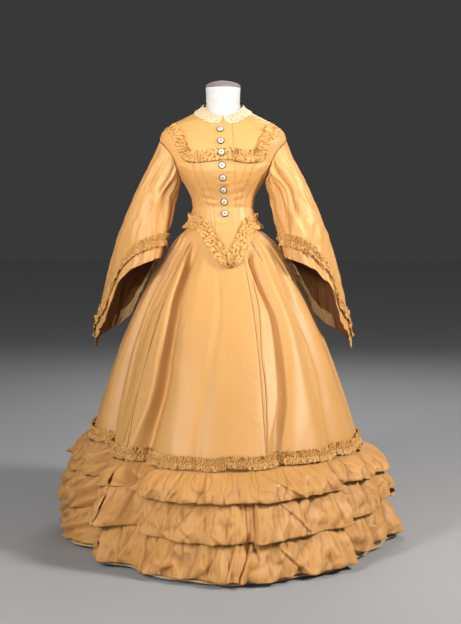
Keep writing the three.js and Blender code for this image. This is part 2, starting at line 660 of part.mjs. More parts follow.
for (const [name, side] of [["right", -1], ["left", 1]]) {
  for (const piece of SLEEVE_PIECES) {
    const last = piece.degrees.length - 1;
    const place = (degrees) => {
      const edge = degrees === piece.degrees[0] ? 1 : degrees === piece.degrees[last] ? -1 : 0;
      return degrees + edge * 0.14;
    };
    const outer = grid(piece.degrees, SLEEVE_ROWS, (d, s) => mirrored(sleevePoint(place(d), s), side));
    const inner = grid(piece.degrees, SLEEVE_ROWS, (d, s) =>
      mirrored(sleevePoint(place(d), s).addScaledVector(sleeveNormal(d, s), -CLOTH), side),
    );
    add(`sleeve_${name}_${piece.name}`, wall(outer, inner), SILK);
  }

  // A band parallel to the sleeve's hem. Its places are heights above the hem.
  const hemBand = (from, to, steps, rows, liftOf) => {
    const make = (column, row, extra) => {
      const degrees = lerp(from, to, column / steps);
      const start = armholePoint(degrees).z;
      const share = 1 - row / (start - sleeveHem(degrees));
      const lift = liftOf(column, row) + extra;
      return mirrored(sleevePoint(degrees, share).addScaledVector(sleeveNormal(degrees, share), lift), side);
    };
    const closed = to - from >= 360;
    const columns = closed ? span(0, steps - 1, steps - 1) : span(0, steps, steps);
    return wall(
      grid(columns, rows, (c, r) => make(c, r, RIBBON)),
      grid(columns, rows, (c, r) => make(c, r, 0)),
      closed,
    );
  };
  const half = SLEEVE_TRIM.width / 2;
  const trimRows = [SLEEVE_TRIM.aboveHem - half, SLEEVE_TRIM.aboveHem, SLEEVE_TRIM.aboveHem + half];
  const trimLift = (column, row) => rucheLift(column, row - SLEEVE_TRIM.aboveHem, SLEEVE_TRIM.crest);
  add(`sleeve_trim_${name}`, hemBand(-25, 335, SLEEVE_TRIM.waves * 2, trimRows, trimLift), RUCHE);

  const frillRows = [FRILL.aboveHem - FRILL.width / 2, FRILL.aboveHem + FRILL.width / 2];
  const frillLift = (column) => -CLOTH - LIFT - RIBBON - (column % 2) * FRILL.crest;
  add(`sleeve_frill_${name}`, hemBand(FRILL.from, FRILL.to, FRILL.waves * 2, frillRows, frillLift), LACE);
}

// ---------------------------------------------------------------- dress form and stand
// A closed solid through rings, given from the bottom up.
function stack(rings, columns) {
  const turns = span(0, 1 - 1 / columns, columns - 1);
  const points = rings.map(({ ring, height }) => turns.map((turn) => ringPoint(ring, turn, height)));
  const positions = [];
  const face = (...corners) => corners.forEach((p) => positions.push(p.x, p.y, p.z));
  for (let j = 0; j < points.length - 1; j += 1)
    for (let i = 0; i < columns; i += 1) {
      const next = (i + 1) % columns;
      face(points[j][i], points[j][next], points[j + 1][next]);
      face(points[j][i], points[j + 1][next], points[j + 1][i]);
    }
  for (const [row, flip] of [[points[0], true], [points[points.length - 1], false]]) {
    const centre = new THREE.Vector3(0, 0, row[0].z);
    for (let i = 0; i < columns; i += 1) {
      const [a, b] = [row[i], row[(i + 1) % columns]];
      if (flip) face(centre, b, a);
      else face(centre, a, b);
    }
  }
  return solid(positions);
}

const FORM_HIPS = table(
  ["height", "side", "front", "back"],
  [
    [FORM.bottom, 134, 112, 122],
    [890, 124, 104, 112],
    [930, 106, 94, 92],
    [962, 94, 88, 80],
    [990, 88, 82, 70],
  ],
);
// Heights at which the form follows the bodice, how much smaller it is there and how much lower.
const FORM_CHEST = [
  { heights: [WAIST.height], inside: 8, below: 0 },
  { heights: [1045, 1075, 1103, 1133, 1163, 1193, 1223], inside: 6, below: 0 },
  { heights: [1245, 1262, 1278, 1294], inside: 4, below: 1.4 },
  { heights: [1308, 1322, 1336], inside: 5, below: 2 },
];
const roundRing = (radius) => ({ side: radius, front: radius, back: radius, squareness: 2 });
const formRings = [
  ...FORM_HIPS.map((row) => ({ ring: { ...row, squareness: 2 }, height: row.height })),
  ...FORM_CHEST.flatMap(({ heights, inside, below }) =>
    heights.map((height) => ({ ring: ringAt(TORSO_RINGS, height, -inside), height: height - below })),
  ),
  ...[1350, NECK.top].map((height) => ({ ring: roundRing(NECK.radius), height })),
];
add("form_torso", stack(formRings, FORM.columns), COTTON);

function lathe(name, profile, segments, look) {
  const rows = profile.map(([radius, height]) => ({ ring: roundRing(radius), height }));
  add(name, stack(rows, segments), look);
}
const capHeight = NECK.capTop - NECK.top;
const capDome = [0, 0.25, 0.5, 0.75, 0.96].map((share) => [
  NECK.radius * Math.sqrt(1 - (share * 0.93) ** 2),
  NECK.top + SEAM_GAP + capHeight * share,
]);
lathe("form_neck_cap", capDome, 20, CAP_CLOTH);
const floorPlate = [
  [STAND.baseRadius, 0],
  [STAND.baseRadius, STAND.baseHeight * 0.5],
  [STAND.baseRadius - 10, STAND.baseHeight],
  [STAND.hubRadius, STAND.baseHeight + 6],
  [STAND.hubRadius * 0.7, STAND.hubHeight],
];
lathe("stand_base", floorPlate, 24, STEEL);
const pole = [
  [STAND.poleRadius, STAND.hubHeight + SEAM_GAP],
  [STAND.poleRadius, FORM.bottom - SEAM_GAP],
];
lathe("stand_pole", pole, 12, STEEL);

export default dress;
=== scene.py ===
import math

import bmesh
import bpy
import numpy as np
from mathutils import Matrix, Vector


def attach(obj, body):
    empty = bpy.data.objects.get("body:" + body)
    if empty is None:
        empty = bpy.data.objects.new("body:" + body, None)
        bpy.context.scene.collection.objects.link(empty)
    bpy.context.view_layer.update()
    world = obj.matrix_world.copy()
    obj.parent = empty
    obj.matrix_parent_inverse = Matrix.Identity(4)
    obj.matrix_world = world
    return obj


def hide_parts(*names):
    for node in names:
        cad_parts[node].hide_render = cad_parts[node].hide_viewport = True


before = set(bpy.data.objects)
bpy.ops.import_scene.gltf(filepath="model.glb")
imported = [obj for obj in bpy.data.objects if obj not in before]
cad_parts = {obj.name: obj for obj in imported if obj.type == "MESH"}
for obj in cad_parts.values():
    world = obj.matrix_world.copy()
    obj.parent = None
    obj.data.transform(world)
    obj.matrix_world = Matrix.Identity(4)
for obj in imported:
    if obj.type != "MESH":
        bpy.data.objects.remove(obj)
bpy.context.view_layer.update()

TURN = 2 * math.pi
THICKNESS = 1.0  # of the silk's shell, mm
SEAM = 0.25  # half of the line between two pieces sewn together, mm

# ---------------------------------------------------------------- tables of the dress's form
# height, side, front, back, squareness
TORSO_RINGS = np.array([
    [1018, 95, 87, 73, 2.0], [1045, 99, 93, 78, 2.05], [1075, 112, 108, 86, 2.1], [1103, 131, 124, 93, 2.15],
    [1133, 153, 133, 99, 2.2], [1163, 169, 132, 103, 2.2], [1193, 183, 124, 105, 2.2], [1223, 196, 110, 103, 2.2],
    [1245, 191, 96, 98, 2.15], [1262, 175, 84, 92, 2.05], [1278, 151, 74, 84, 1.9], [1294, 120, 64, 76, 1.7],
    [1308, 92, 59, 67, 1.75], [1322, 70, 57, 61, 1.8], [1336, 60, 57, 58, 1.9], [1345, 58, 57, 57, 2.0],
])
SKIRT_RINGS = np.array([
    [6, 490, 562, 640, 1.78], [150, 456, 508, 590, 1.78], [318, 413, 443, 530, 1.8], [470, 364, 370, 460, 1.86],
    [620, 308, 288, 375, 1.94], [740, 252, 212, 296, 2], [830, 203, 160, 228, 2], [890, 165, 131, 178, 2],
    [930, 136, 113, 138, 2], [962, 106, 99, 98, 2], [990, 95, 89, 76, 2], [1018, 92, 84, 70, 2],
])
# degrees from the centre front, height of the bodice's lower edge
BASQUE_EDGE = np.array([
    [-180, 924], [-150, 938], [-120, 950], [-90, 955], [-60, 953], [-42, 948], [-30, 932], [-20, 908],
    [-12, 882], [-3, 852], [6, 838], [15, 850], [24, 882], [33, 914], [48, 944], [66, 953], [90, 955],
    [120, 950], [150, 938], [180, 924],
])
# degrees, height of the neckline, depth of the collar below it
NECKLINE = np.array([
    [0, 1297, 25], [15, 1302, 24], [30, 1311, 22], [55, 1323, 19], [90, 1334, 17], [135, 1338, 22], [180, 1340, 26],
])
# height, outer reach, inner reach, middle, depth of a sleeve at +X
SLEEVE_SECTIONS = np.array([
    [560, 401, 296, 17, 128], [589, 398, 286, 16, 126], [640, 392, 268, 13, 124], [690, 385, 250, 12, 121],
    [740, 375, 243, 10, 118], [800, 361, 225, 8, 112], [861, 346, 202, 6, 104], [928, 329, 178, 4, 93],
    [976, 311, 161, 2, 84], [1020, 292, 152, 1, 78], [1067, 272, 143, 0, 72], [1100, 256, 139, -1, 67],
    [1150, 231, 152, -2, 60], [1193, 210, 168, -3, 50], [1223, 200, 188, -3, 30],
])
# degrees round the sleeve (0 outside, 90 front), height of its hem
SLEEVE_HEM = np.array([
    [-25, 566], [-12, 602], [0, 628], [14, 646], [27, 676], [33, 730], [39, 776], [48, 802], [62, 826], [80, 842],
    [100, 853], [125, 861], [150, 864], [180, 852], [188, 812], [196, 770], [205, 730], [216, 696], [230, 664],
    [250, 640], [270, 624], [295, 606], [315, 588], [335, 566],
])
ARMHOLE = {"height": 1163, "half_height": 60, "half_turn": 0.078}
COLUMN = 1 / 72  # of a turn; the cuts of the skirt and its flounces lie on columns
GORES = [("skirt_front", -9, 4), ("skirt_side_left", 4, 20), ("skirt_back_left", 20, 36),
         ("skirt_back_right", 36, 50), ("skirt_side_right", 50, 63)]

# Deep soft folds of the skirt's front half: places in (height, turn) from the hem up, half width in
# turns at the hem and above the flounces, and depth at hip, knee, trim and hem (mm). A depth below 0 is
# a ridge. steep narrows the bank on the side of the smaller turns, above the flounces.
SOFT_FOLDS = [
    {"path": [(6, -0.146), (318, -0.146), (600, -0.150), (850, -0.150)], "width": (0.009, 0.009),
     "depths": (12, 12, 5, 0)},
    {"path": [(6, -0.102), (113, -0.094), (212, -0.1000), (318, -0.1050), (387, -0.1016), (500, -0.0945),
              (647, -0.0965), (753, -0.102), (850, -0.104)],
     "width": (0.020, 0.0110), "depths": (20, 92, 48, 34), "steep": 0.36},
    {"path": [(6, -0.062), (318, -0.062), (600, -0.056), (850, -0.052)], "width": (0.013, 0.013),
     "depths": (-5, -7, -3, 0)},
    {"path": [(6, -0.040), (318, -0.034), (506, -0.0228), (600, -0.015), (727, -0.0066), (853, -0.0151)],
     "width": (0.007, 0.007), "depths": (17, 17, 6, 2)},
    {"path": [(6, 0.020), (318, 0.020), (600, 0.026), (850, 0.022)], "width": (0.014, 0.014),
     "depths": (-4, -3, 0, 0)},
    {"path": [(6, 0.070), (318, 0.072), (392, 0.0753), (465, 0.0838), (574, 0.0885), (685, 0.0923), (781, 0.0800),
              (850, 0.073)], "width": (0.012, 0.0115), "depths": (32, 90, 32, 8), "steep": 0.34},
    {"path": [(6, 0.1194), (381, 0.1194), (684, 0.1209), (779, 0.1147)], "width": (0.012, 0.012),
     "depths": (-6, -10, -6, 0)},
    {"path": [(6, 0.150), (368, 0.1541), (562, 0.1626), (718, 0.1564)], "width": (0.011, 0.011),
     "depths": (26, 40, 16, 4), "steep": 0.5},
    {"path": [(6, 0.200), (318, 0.200), (600, 0.198), (850, 0.190)], "width": (0.014, 0.014),
     "depths": (-4, -7, -4, 0)},
    {"path": [(6, -0.158), (200, -0.162), (318, -0.172), (600, -0.190), (850, -0.196)], "width": (0.016, 0.014),
     "depths": (10, 20, 46, 62)},
]
FOLD_HEIGHTS = (850, 600, 318, 190)  # of hip, knee, trim and hem
WAIST = 1018
# The side of the hem is drawn in: turn, half width in turns, depth in mm, from and full at heights.
DRAWN_IN = [(-0.250, 0.045, 46, 130, 20)]
# The trims and flounces aren't level all round: turn, rise in mm.
RISE = np.array([
    [-0.5, 0], [-0.35, 8], [-0.25, 22], [-0.2, 23], [-0.165, 15], [-0.135, 4], [-0.1, 0], [0.0, 0], [0.11, 1],
    [0.15, -2], [0.2, -6], [0.28, -4], [0.4, 2], [0.5, 0],
])

# ---------------------------------------------------------------- curves and noise
def smoothstep(x):
    t = np.clip(x, 0, 1)
    return t * t * (3 - 2 * t)


def spread(*values):
    """Numbers and arrays, as arrays of one shape."""
    return np.broadcast_arrays(*(np.asarray(value, float) for value in values))


def read(rows, column, at):
    """One column of a table at a place along its first one, on a smooth curve that never overshoots."""
    x, y = rows[:, 0], rows[:, column]
    span = np.diff(x)
    slope = np.diff(y) / span
    tangent = np.zeros(len(x))
    tangent[0], tangent[-1] = slope[0], slope[-1]
    before, after = slope[:-1], slope[1:]
    same = before * after > 0
    tangent[1:-1][same] = 2 * before[same] * after[same] / (before[same] + after[same])
    at = np.clip(at, x[0], x[-1])
    i = np.clip(np.searchsorted(x, at, side="right") - 1, 0, len(x) - 2)
    t = (at - x[i]) / span[i]
    return (y[i] * (1 + 2 * t) * (1 - t) ** 2 + tangent[i] * span[i] * t * (1 - t) ** 2
            + y[i + 1] * t * t * (3 - 2 * t) + tangent[i + 1] * span[i] * t * t * (t - 1))


def ripple(x, seed, octaves=4):
    """Smooth uneven noise between -1 and 1 along x, with waves about 1 long."""
    rng = np.random.default_rng(seed)
    total = 0
    for k in range(octaves):
        frequency = 0.5 + 0.5 * k + 0.4 * rng.random()
        total = total + np.sin(TURN * (x * frequency + rng.random())) / octaves ** 0.5
    return np.clip(total, -1.6, 1.6) / 1.3


def crumple(u, v, seed, size, waves=7):
    """Uneven noise over (u, v) in mm, with soft hollows and sharper ridges about size mm across."""
    rng = np.random.default_rng(seed)
    total = 0
    for _ in range(waves):
        angle = rng.random() * math.pi
        scale = size * (0.7 + 0.9 * rng.random())
        along = (u * math.cos(angle) + v * math.sin(angle)) / scale
        across = (v * math.cos(angle) - u * math.sin(angle)) / scale
        phase = along + 0.35 * np.sin(across * 2.1 + rng.random() * 9) + rng.random()
        total = total + 1 - 2 * np.abs(np.sin(math.pi * phase))
    return total / waves ** 0.5


def facets(u, v, seed, size, lean):
    """Flat facets between sharp ridges and valleys that run within lean (radians) of straight down."""
    rng = np.random.default_rng(seed)
    total = 0
    for k in range(6):
        angle = rng.uniform(-lean, lean)
        scale = size * rng.uniform(0.6, 1.5)
        along = (u * math.cos(angle) + v * math.sin(angle)) / scale
        down = (v * math.cos(angle) - u * math.sin(angle)) / scale
        phase = along + 0.3 * ripple(down * 0.5, seed + k, 3) + rng.random()
        total = total + (1 - 2 * np.abs(np.sin(math.pi * phase))) * (1 if k % 2 else -1)
    return total / 6 ** 0.5


def crease(turn, height, path, scale, depth, width, lap):
    """A crisp crease along path, places in (turn, height), of cloth with scale mm to a turn: a groove,
    and a lapped edge that stands lap mm proud on the side of the larger turns and dies away."""
    turns, heights = zip(*sorted(path, key=lambda spot: spot[1]))
    away = (turn - np.interp(height, heights, turns)) * scale
    fade = 0.18 * (heights[-1] - heights[0])
    ends = smoothstep((height - heights[0]) / fade) * smoothstep((heights[-1] - height) / fade)
    groove = -depth * np.exp(-((away / width) ** 2))
    side = np.exp(-np.abs(away) / np.where(away > 0, 9 * width, 0.9 * width))
    return ends * (groove + lap * side)


# ---------------------------------------------------------------- surfaces
def signed_degrees(turn):
    return (turn - np.round(turn)) * 360


def basque_edge(turn):
    return read(BASQUE_EDGE, 1, signed_degrees(turn))


def neckline(turn):
    return read(NECKLINE, 1, np.abs(signed_degrees(turn)))


def collar_drop(turn):
    return read(NECKLINE, 2, np.abs(signed_degrees(turn)))


def ring_at(turn, height, side, front, back, squareness):
    """Points of a level ring: an ellipse with a depth of its own in front and behind."""
    s, c = np.sin(turn * TURN), np.cos(turn * TURN)
    power = 2 / squareness
    depth = np.where(c > 0, front, back)
    return np.stack([side * np.sign(s) * np.abs(s) ** power, -depth * np.sign(c) * np.abs(c) ** power, height], -1)


def ring_point(rows, turn, height, grow=0.0):
    """Points of a form whose rings are rows of a table, all grow mm wider."""
    turn, height = spread(turn, height)
    side, front, back, squareness = (read(rows, column, height) for column in (1, 2, 3, 4))
    return ring_at(turn, height, side + grow, front + grow, back + grow, squareness)


def ring_outward(rows, turn, height):
    """The direction straight out of a ring, level with the floor."""
    turn, height = spread(turn, height)
    depth = np.where(np.cos(turn * TURN) > 0, read(rows, 2, height), read(rows, 3, height))
    out = np.stack([np.sin(turn * TURN) / read(rows, 1, height), -np.cos(turn * TURN) / depth, 0 * turn], -1)
    return out / np.linalg.norm(out, axis=-1, keepdims=True)


def normals(points):
    """Outward normals of a grid of points whose first way is round and second way is up."""
    across = np.gradient(points, axis=0)
    up = np.gradient(points, axis=1)
    out = np.cross(across, up)
    return out / np.maximum(np.linalg.norm(out, axis=-1, keepdims=True), 1e-9)


def girth(height):
    """Rough length round the skirt at a height, mm."""
    return 3.1 * (read(SKIRT_RINGS, 1, height) + (read(SKIRT_RINGS, 2, height) + read(SKIRT_RINGS, 3, height)) / 2)


def by_height(height, values):
    """Values at hip, knee, trim and hem, at a height."""
    out = np.full(np.shape(height), float(values[-1]))
    for upper, lower, high, low in zip(FOLD_HEIGHTS, FOLD_HEIGHTS[1:], values, values[1:]):
        out = np.where(height > lower, low + (high - low) * smoothstep((height - lower) / (upper - lower)), out)
    return out


# Crisp lines of the skirt: the path in (turn, height), then depth, width and lap in mm.
SKIRT_CREASES = [
    ([(-0.1281, 905), (-0.1279, 850), (-0.1209, 687), (-0.1265, 452), (-0.1309, 330)], 3.2, 2.4, 4.0),
    ([(-0.160, 860), (-0.1611, 691), (-0.1487, 410)], 2.4, 2.4, -3.0),
    ([(0.0668, 800), (0.0668, 717), (0.0599, 591), (0.0614, 503), (0.0568, 330)], 2.6, 2.2, 2.2),
    ([(0.090, 952), (0.097, 924), (0.1101, 846)], 8.0, 2.6, 6.0),
    ([(0.122, 958), (0.136, 905), (0.146, 820)], 7.0, 3.4, 7.0),
    ([(0.165, 960), (0.176, 900), (0.186, 790)], 7.0, 3.8, 7.0),
    ([(0.205, 960), (0.212, 890), (0.220, 750)], 6.0, 4.0, 6.0),
    ([(-0.084, 950), (-0.096, 890), (-0.104, 800)], 6.0, 3.4, -6.0),
    ([(-0.112, 956), (-0.122, 905), (-0.140, 800), (-0.146, 700)], 6.0, 3.6, -6.4),
    ([(-0.150, 960), (-0.160, 900), (-0.178, 780)], 6.2, 3.8, -6.4),
    ([(-0.190, 960), (-0.198, 890), (-0.210, 740)], 6.2, 4.0, -6.4),
    ([(-0.230, 950), (-0.236, 890), (-0.240, 740)], 3.2, 3.4, -3.4),
    ([(0.244, 950), (0.250, 890), (0.252, 780)], 3.2, 3.4, 3.4),
    ([(-0.040, 700), (-0.046, 560), (-0.050, 420)], 0.8, 3.5, 0.8),
    ([(0.112, 760), (0.108, 640), (0.106, 520)], 0.8, 4.0, 0.8),
    ([(-0.018, 470), (-0.012, 400), (-0.010, 335)], 0.7, 3.5, 0.6),
    ([(0.145, 640), (0.142, 500), (0.136, 380)], 0.8, 4.0, 0.8),
]
# Short cross creases and puckers: the middle in (turn, height), length and slant in mm, depth, width.
SKIRT_PUCKERS = [
    (-0.1375, 422, 52, 16, 1.8, 3.0), (0.055, 660, 44, -14, 1.0, 3.2), (0.053, 632, 40, -10, 0.9, 3.2),
    (0.052, 604, 46, -16, 1.1, 3.4), (0.049, 560, 40, 10, 0.8, 3.2), (0.050, 527, 50, -18, 1.1, 3.4),
    (0.047, 470, 44, 16, 0.8, 3.4), (0.044, 428, 50, -14, 1.0, 3.4), (0.046, 402, 54, -18, 1.3, 3.4),
    (0.042, 372, 52, 12, 1.1, 3.4), (0.028, 412, 60, 14, 0.8, 4.0), (0.018, 386, 56, -18, 0.9, 4.0),
    (-0.006, 408, 64, 20, 0.7, 4.5), (-0.028, 452, 60, 26, 0.7, 4.5), (0.071, 588, 40, 16, 0.8, 3.4),
    (0.072, 452, 44, 18, 0.9, 3.4), (0.070, 384, 46, -14, 1.0, 3.4), (-0.118, 560, 34, 14, 0.9, 3.0),
    (-0.119, 500, 30, -10, 0.8, 3.0), (-0.117, 640, 30, 12, 0.8, 3.0), (0.030, 700, 60, -30, 0.6, 5.0),
    (0.016, 640, 60, 24, 0.6, 5.0),
]
BACK_FOLDS = {"from": 0.205, "to": 0.795, "count": 10, "depths": (11, 21, 13, 13)}
WAIST_GATHERS = {"count": 24, "from": 0.17, "span": 0.66, "top": 950, "reach": 120, "uneven": 70, "depth": 5.0}
SEAM_GROOVE = {"depth": 1.8, "width": 2.2}
# How far in a fold may go before it would meet the form under the gown: heights, and mm at each.
ROOM = ([740, 830, 870, 900, 930, 960], [120, 46, 26, 15, 9, 5])


def back_folds(turn, height):
    """The soft even folds of the back half. turn is from 0 to 1."""
    along = (turn - BACK_FOLDS["from"]) / (BACK_FOLDS["to"] - BACK_FOLDS["from"])
    ends = smoothstep(along * 8) * smoothstep((1 - along) * 8)
    phase = along * BACK_FOLDS["count"] + 0.13 * np.sin(along * 9) + 0.10 * np.sin(height / 210 + along * 14)
    wave = np.cos(phase * TURN)
    return ends * by_height(height, BACK_FOLDS["depths"]) * (0.6 * wave + 0.18 * wave ** 2 - 0.1)


def pucker(du, dv, length, slant, depth, width):
    """A short groove with a ridge beside it, at (du, dv) mm from its middle."""
    norm = math.hypot(length, slant)
    ends = ((du * length + dv * slant) / norm / (0.45 * norm)) ** 4
    across = (dv * length - du * slant) / norm
    ridge = 0.8 * np.exp(-(((across - 2.2 * width) / width) ** 2) - ends)
    return depth * (ridge - np.exp(-((across / width) ** 2) - ends))


def waist_gathers(turn, height, scale):
    """Depth of the grooves where the back and sides are sewn to the waist. turn is from 0 to 1."""
    out = np.zeros_like(height)
    count = WAIST_GATHERS["count"]
    for k in range(count):
        at = WAIST_GATHERS["from"] + WAIST_GATHERS["span"] * (k + 0.5) / count + 0.006 * math.sin(k * 2.3)
        reach = WAIST_GATHERS["reach"] + WAIST_GATHERS["uneven"] * math.sin(k * 1.7)
        fall = smoothstep((height - (WAIST_GATHERS["top"] - reach)) / reach)
        out += fall * WAIST_GATHERS["depth"] * np.exp(-(((turn - at) * scale) / (4.0 + 7 * (1 - fall))) ** 2)
    return out


def skirt_folds(turn, height):
    """How far the skirt stands out of its rings, mm."""
    turn, height = spread(turn, height)
    signed, positive = turn - np.round(turn), turn - np.floor(turn)
    scale = girth(height)
    out = np.zeros_like(signed)
    for fold in SOFT_FOLDS:
        low, high = fold["width"]
        width = low + (high - low) * smoothstep((height - 130) / 190)
        away = (signed - read(np.array(fold["path"]), 1, height)) / width
        if "steep" in fold:
            bank = fold["steep"] + (0.85 - fold["steep"]) * smoothstep((430 - height) / 130)
            away = away / np.where(away < 0, bank, 1.25)
        out -= by_height(height, fold["depths"]) * np.exp(-away * away)
    for centre, width, depth, top, full in DRAWN_IN:
        out -= depth * np.exp(-(((signed - centre) / width) ** 2)) * smoothstep((top - height) / (top - full))
    out += back_folds(positive, height)
    for path, depth, width, lap in SKIRT_CREASES:
        out += crease(signed, height, path, scale, depth, width, lap)
    for t, h, *shape in SKIRT_PUCKERS:
        out += pucker(signed * scale - t * girth(h), height - h, *shape)
    out -= waist_gathers(positive, height, scale)
    out += 0.5 * crumple(signed * scale, height * 0.55, 5, 95)
    for _, seam, _ in GORES:
        away = (turn - np.round(turn - seam * COLUMN) - seam * COLUMN) * scale
        out -= SEAM_GROOVE["depth"] * np.exp(-((away / SEAM_GROOVE["width"]) ** 2))
    free = smoothstep((basque_edge(turn) - 4 - height) / 45)
    return np.maximum(out, -np.interp(height, *ROOM)) * free


def rise(turn):
    """How much higher than in front the trims and flounces stand, mm."""
    return read(RISE, 1, turn - np.round(turn))


def skirt_plain(turn, height, lift=0.0):
    """The skirt with its folds but without the flare of its hem."""
    shift = skirt_folds(turn, height) + lift
    return ring_point(SKIRT_RINGS, turn, height) + ring_outward(SKIRT_RINGS, turn, height) * shift[..., None]


def skirt(turn, height, lift=0.0):
    """The skirt itself. Under the lowest flounce it flares out to the hem."""
    flare = 0.8 * hem_reach(FLOUNCES["lower"], turn) * np.clip((105 - height) / 98, 0, 1) ** 1.5
    return skirt_plain(turn, height, lift + flare)


def bodice(turn, height):
    """The plain form of the bodice: the torso above the waist, a little outside the skirt below it."""
    turn, height = spread(turn, height)
    basque = ring_point(SKIRT_RINGS, turn, height, 3.2 + 3.0 * smoothstep((WAIST - height) / 20))
    return np.where((height >= WAIST)[..., None], ring_point(TORSO_RINGS, turn, height), basque)


def turn_at_side(side, height):
    """The turn at which a ring of the bodice is side mm from the middle."""
    rows, grow = (TORSO_RINGS, 0) if height >= WAIST else (SKIRT_RINGS, 6.2)
    share = min(1, abs(side) / (read(rows, 1, height) + grow))
    return math.copysign(math.asin(share ** (read(rows, 4, height) / 2)), side) / TURN


def outward(surface, turn, height, du, dv):
    """The direction straight out of a surface of (turn, height)."""
    across = surface(turn + du, height) - surface(turn - du, height)
    up = surface(turn, height + dv) - surface(turn, height - dv)
    out = np.cross(across, up)
    return out / np.linalg.norm(out, axis=-1, keepdims=True)


# ---------------------------------------------------------------- meshes
def mesh_of(name, vertices, faces, uvs=None, material=None):
    """A smooth object from points in mm, with a UV map where uvs, in mm too, are given."""
    mesh = bpy.data.meshes.new(name)
    mesh.from_pydata((np.asarray(vertices, float).reshape(-1, 3) * 0.001).tolist(), [], faces)
    if uvs is not None:
        corner = np.zeros(len(mesh.loops), dtype=np.int32)
        mesh.loops.foreach_get("vertex_index", corner)
        layer = mesh.uv_layers.new(name="cloth")
        layer.data.foreach_set("uv", (uvs.reshape(-1, 2)[corner] * 0.001).ravel())
    mesh.polygons.foreach_set("use_smooth", [True] * len(mesh.polygons))
    obj = bpy.data.objects.new(name, mesh)
    bpy.context.scene.collection.objects.link(obj)
    if material:
        mesh.materials.append(material)
    return obj


def loft(name, rings, material, uvs=None):
    """A closed solid through rings of points, from the bottom up, with a flat end at both."""
    rings = np.asarray(rings, float)
    count, columns = rings.shape[:2]
    faces = []
    for j in range(count - 1):
        for k in range(columns):
            a, b = j * columns + k, j * columns + (k + 1) % columns
            faces.append((a, b, b + columns, a + columns))
    faces.append(tuple(range(columns - 1, -1, -1)))
    faces.append(tuple(range((count - 1) * columns, count * columns)))
    obj = mesh_of(name, rings, faces, uvs, material)
    obj.data.polygons.foreach_set("use_smooth", [len(face) == 4 for face in faces])
    return obj


def cells(columns, rows, keep=None):
    """The faces of a grid of points, or those of them that keep picks."""
    i, j = np.meshgrid(np.arange(columns - 1), np.arange(rows - 1), indexing="ij")
    if keep is not None:
        i, j = i[keep], j[keep]
    a = (i * rows + j).ravel()
    return np.stack([a, a + rows, a + rows + 1, a + 1], -1).tolist()


def lengths(points):
    """(u, v) of a grid of points in mm along the cloth, for the weave."""
    u = np.concatenate([[0], np.cumsum(np.linalg.norm(np.diff(points.mean(1), axis=0), axis=-1))])
    step = np.linalg.norm(np.diff(points, axis=1), axis=-1)
    v = np.concatenate([np.zeros((len(points), 1)), np.cumsum(step, 1)], 1)
    return np.stack(np.broadcast_arrays(u[:, None], v), -1)


def cloth(name, points, material, thickness=THICKNESS, keep=None, inner=None):
    """A thin shell of cloth on a grid of points: its outer face, and its back a thickness behind."""
    obj = mesh_of(name, points, cells(*points.shape[:2], keep), lengths(points), material)
    if inner:
        obj.data.materials.append(inner)
    if keep is not None:
        tidy_loose(obj)
    shell = obj.modifiers.new("thickness", "SOLIDIFY")
    shell.thickness = thickness * 0.001
    shell.offset = -1
    shell.use_even_offset = False
    if inner:
        shell.material_offset = 1
        shell.material_offset_rim = 1
    return obj


def open_share(points):
    """How open each spot of a grid of cloth lies: 0 deep in a crease, 1 on a flat or a ridge. It sets where shade
    is painted into the creases.
    """
    out = normals(points)
    columns, rows = points.shape[:2]
    depth = np.zeros((columns, rows))
    for reach, weight in ((2, 1.0), (5, 0.25)):
        wide = np.pad(points, ((reach, reach), (reach, reach), (0, 0)), mode="edge")
        near = [wide[i:i + columns, j:j + rows] for i in (0, reach, 2 * reach) for j in (0, reach, 2 * reach)]
        depth += weight * np.clip(((np.mean(near, axis=0) - points) * out).sum(-1), 0, None)
    return 1 - np.clip(depth / 3.2, 0, 0.6)


def paint_shade_by(piece, tops):
    """Stores tops, 0 to 1, for a material that paints shade into the gaps: a darker colour where tops is 0."""
    tone = piece.data.color_attributes.new(name="tops", type="FLOAT_COLOR", domain="POINT")
    tone.data.foreach_set("color", np.repeat(tops.ravel()[:, None], 4, 1).ravel())


def tidy_loose(obj):
    """Takes out the vertices that no face uses."""
    work = bmesh.new()
    work.from_mesh(obj.data)
    bmesh.ops.delete(work, geom=[v for v in work.verts if not v.link_faces], context="VERTS")
    work.to_mesh(obj.data)
    work.free()


def place(obj, nodes):
    """Puts a finished piece on the part and hides the parts of model.glb named in nodes."""
    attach(obj, "root")
    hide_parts(*nodes)
    return obj


# ---------------------------------------------------------------- materials
def set_inputs(node, values):
    for name, value in values.items():
        node.inputs[name].default_value = value


def add(tree, kind, values=None, **settings):
    """A new node of a tree, with its settings and the values of its inputs."""
    node = tree.nodes.new("ShaderNode" + kind)
    for name, value in settings.items():
        setattr(node, name, value)
    set_inputs(node, values or {})
    return node


def add_noise(tree, vector, scale, detail):
    noise = add(tree, "TexNoise", {"Scale": scale, "Detail": detail})
    tree.links.new(vector, noise.inputs["Vector"])
    return noise


def add_bump(tree, height, strength, distance, under):
    """The normal of a bump, on top of the normal under where there is one."""
    bump = add(tree, "Bump", {"Strength": strength, "Distance": distance})
    tree.links.new(height, bump.inputs["Height"])
    if under is not None:
        tree.links.new(under, bump.inputs["Normal"])
    return bump.outputs["Normal"]


def blend(tree, factor, first, second):
    """A mix of two colours by an output."""
    tones = add(tree, "Mix", data_type="RGBA")
    set_inputs(tones, {"A": (*first, 1), "B": (*second, 1)})
    tree.links.new(factor, tones.inputs["Factor"])
    return tones


def new_material(name, values):
    """A material whose shader has these values, with its tree and that shader."""
    material = bpy.data.materials.new(name)
    material.use_nodes = True
    shader = material.node_tree.nodes["Principled BSDF"]
    set_inputs(shader, values)
    return material, material.node_tree, shader


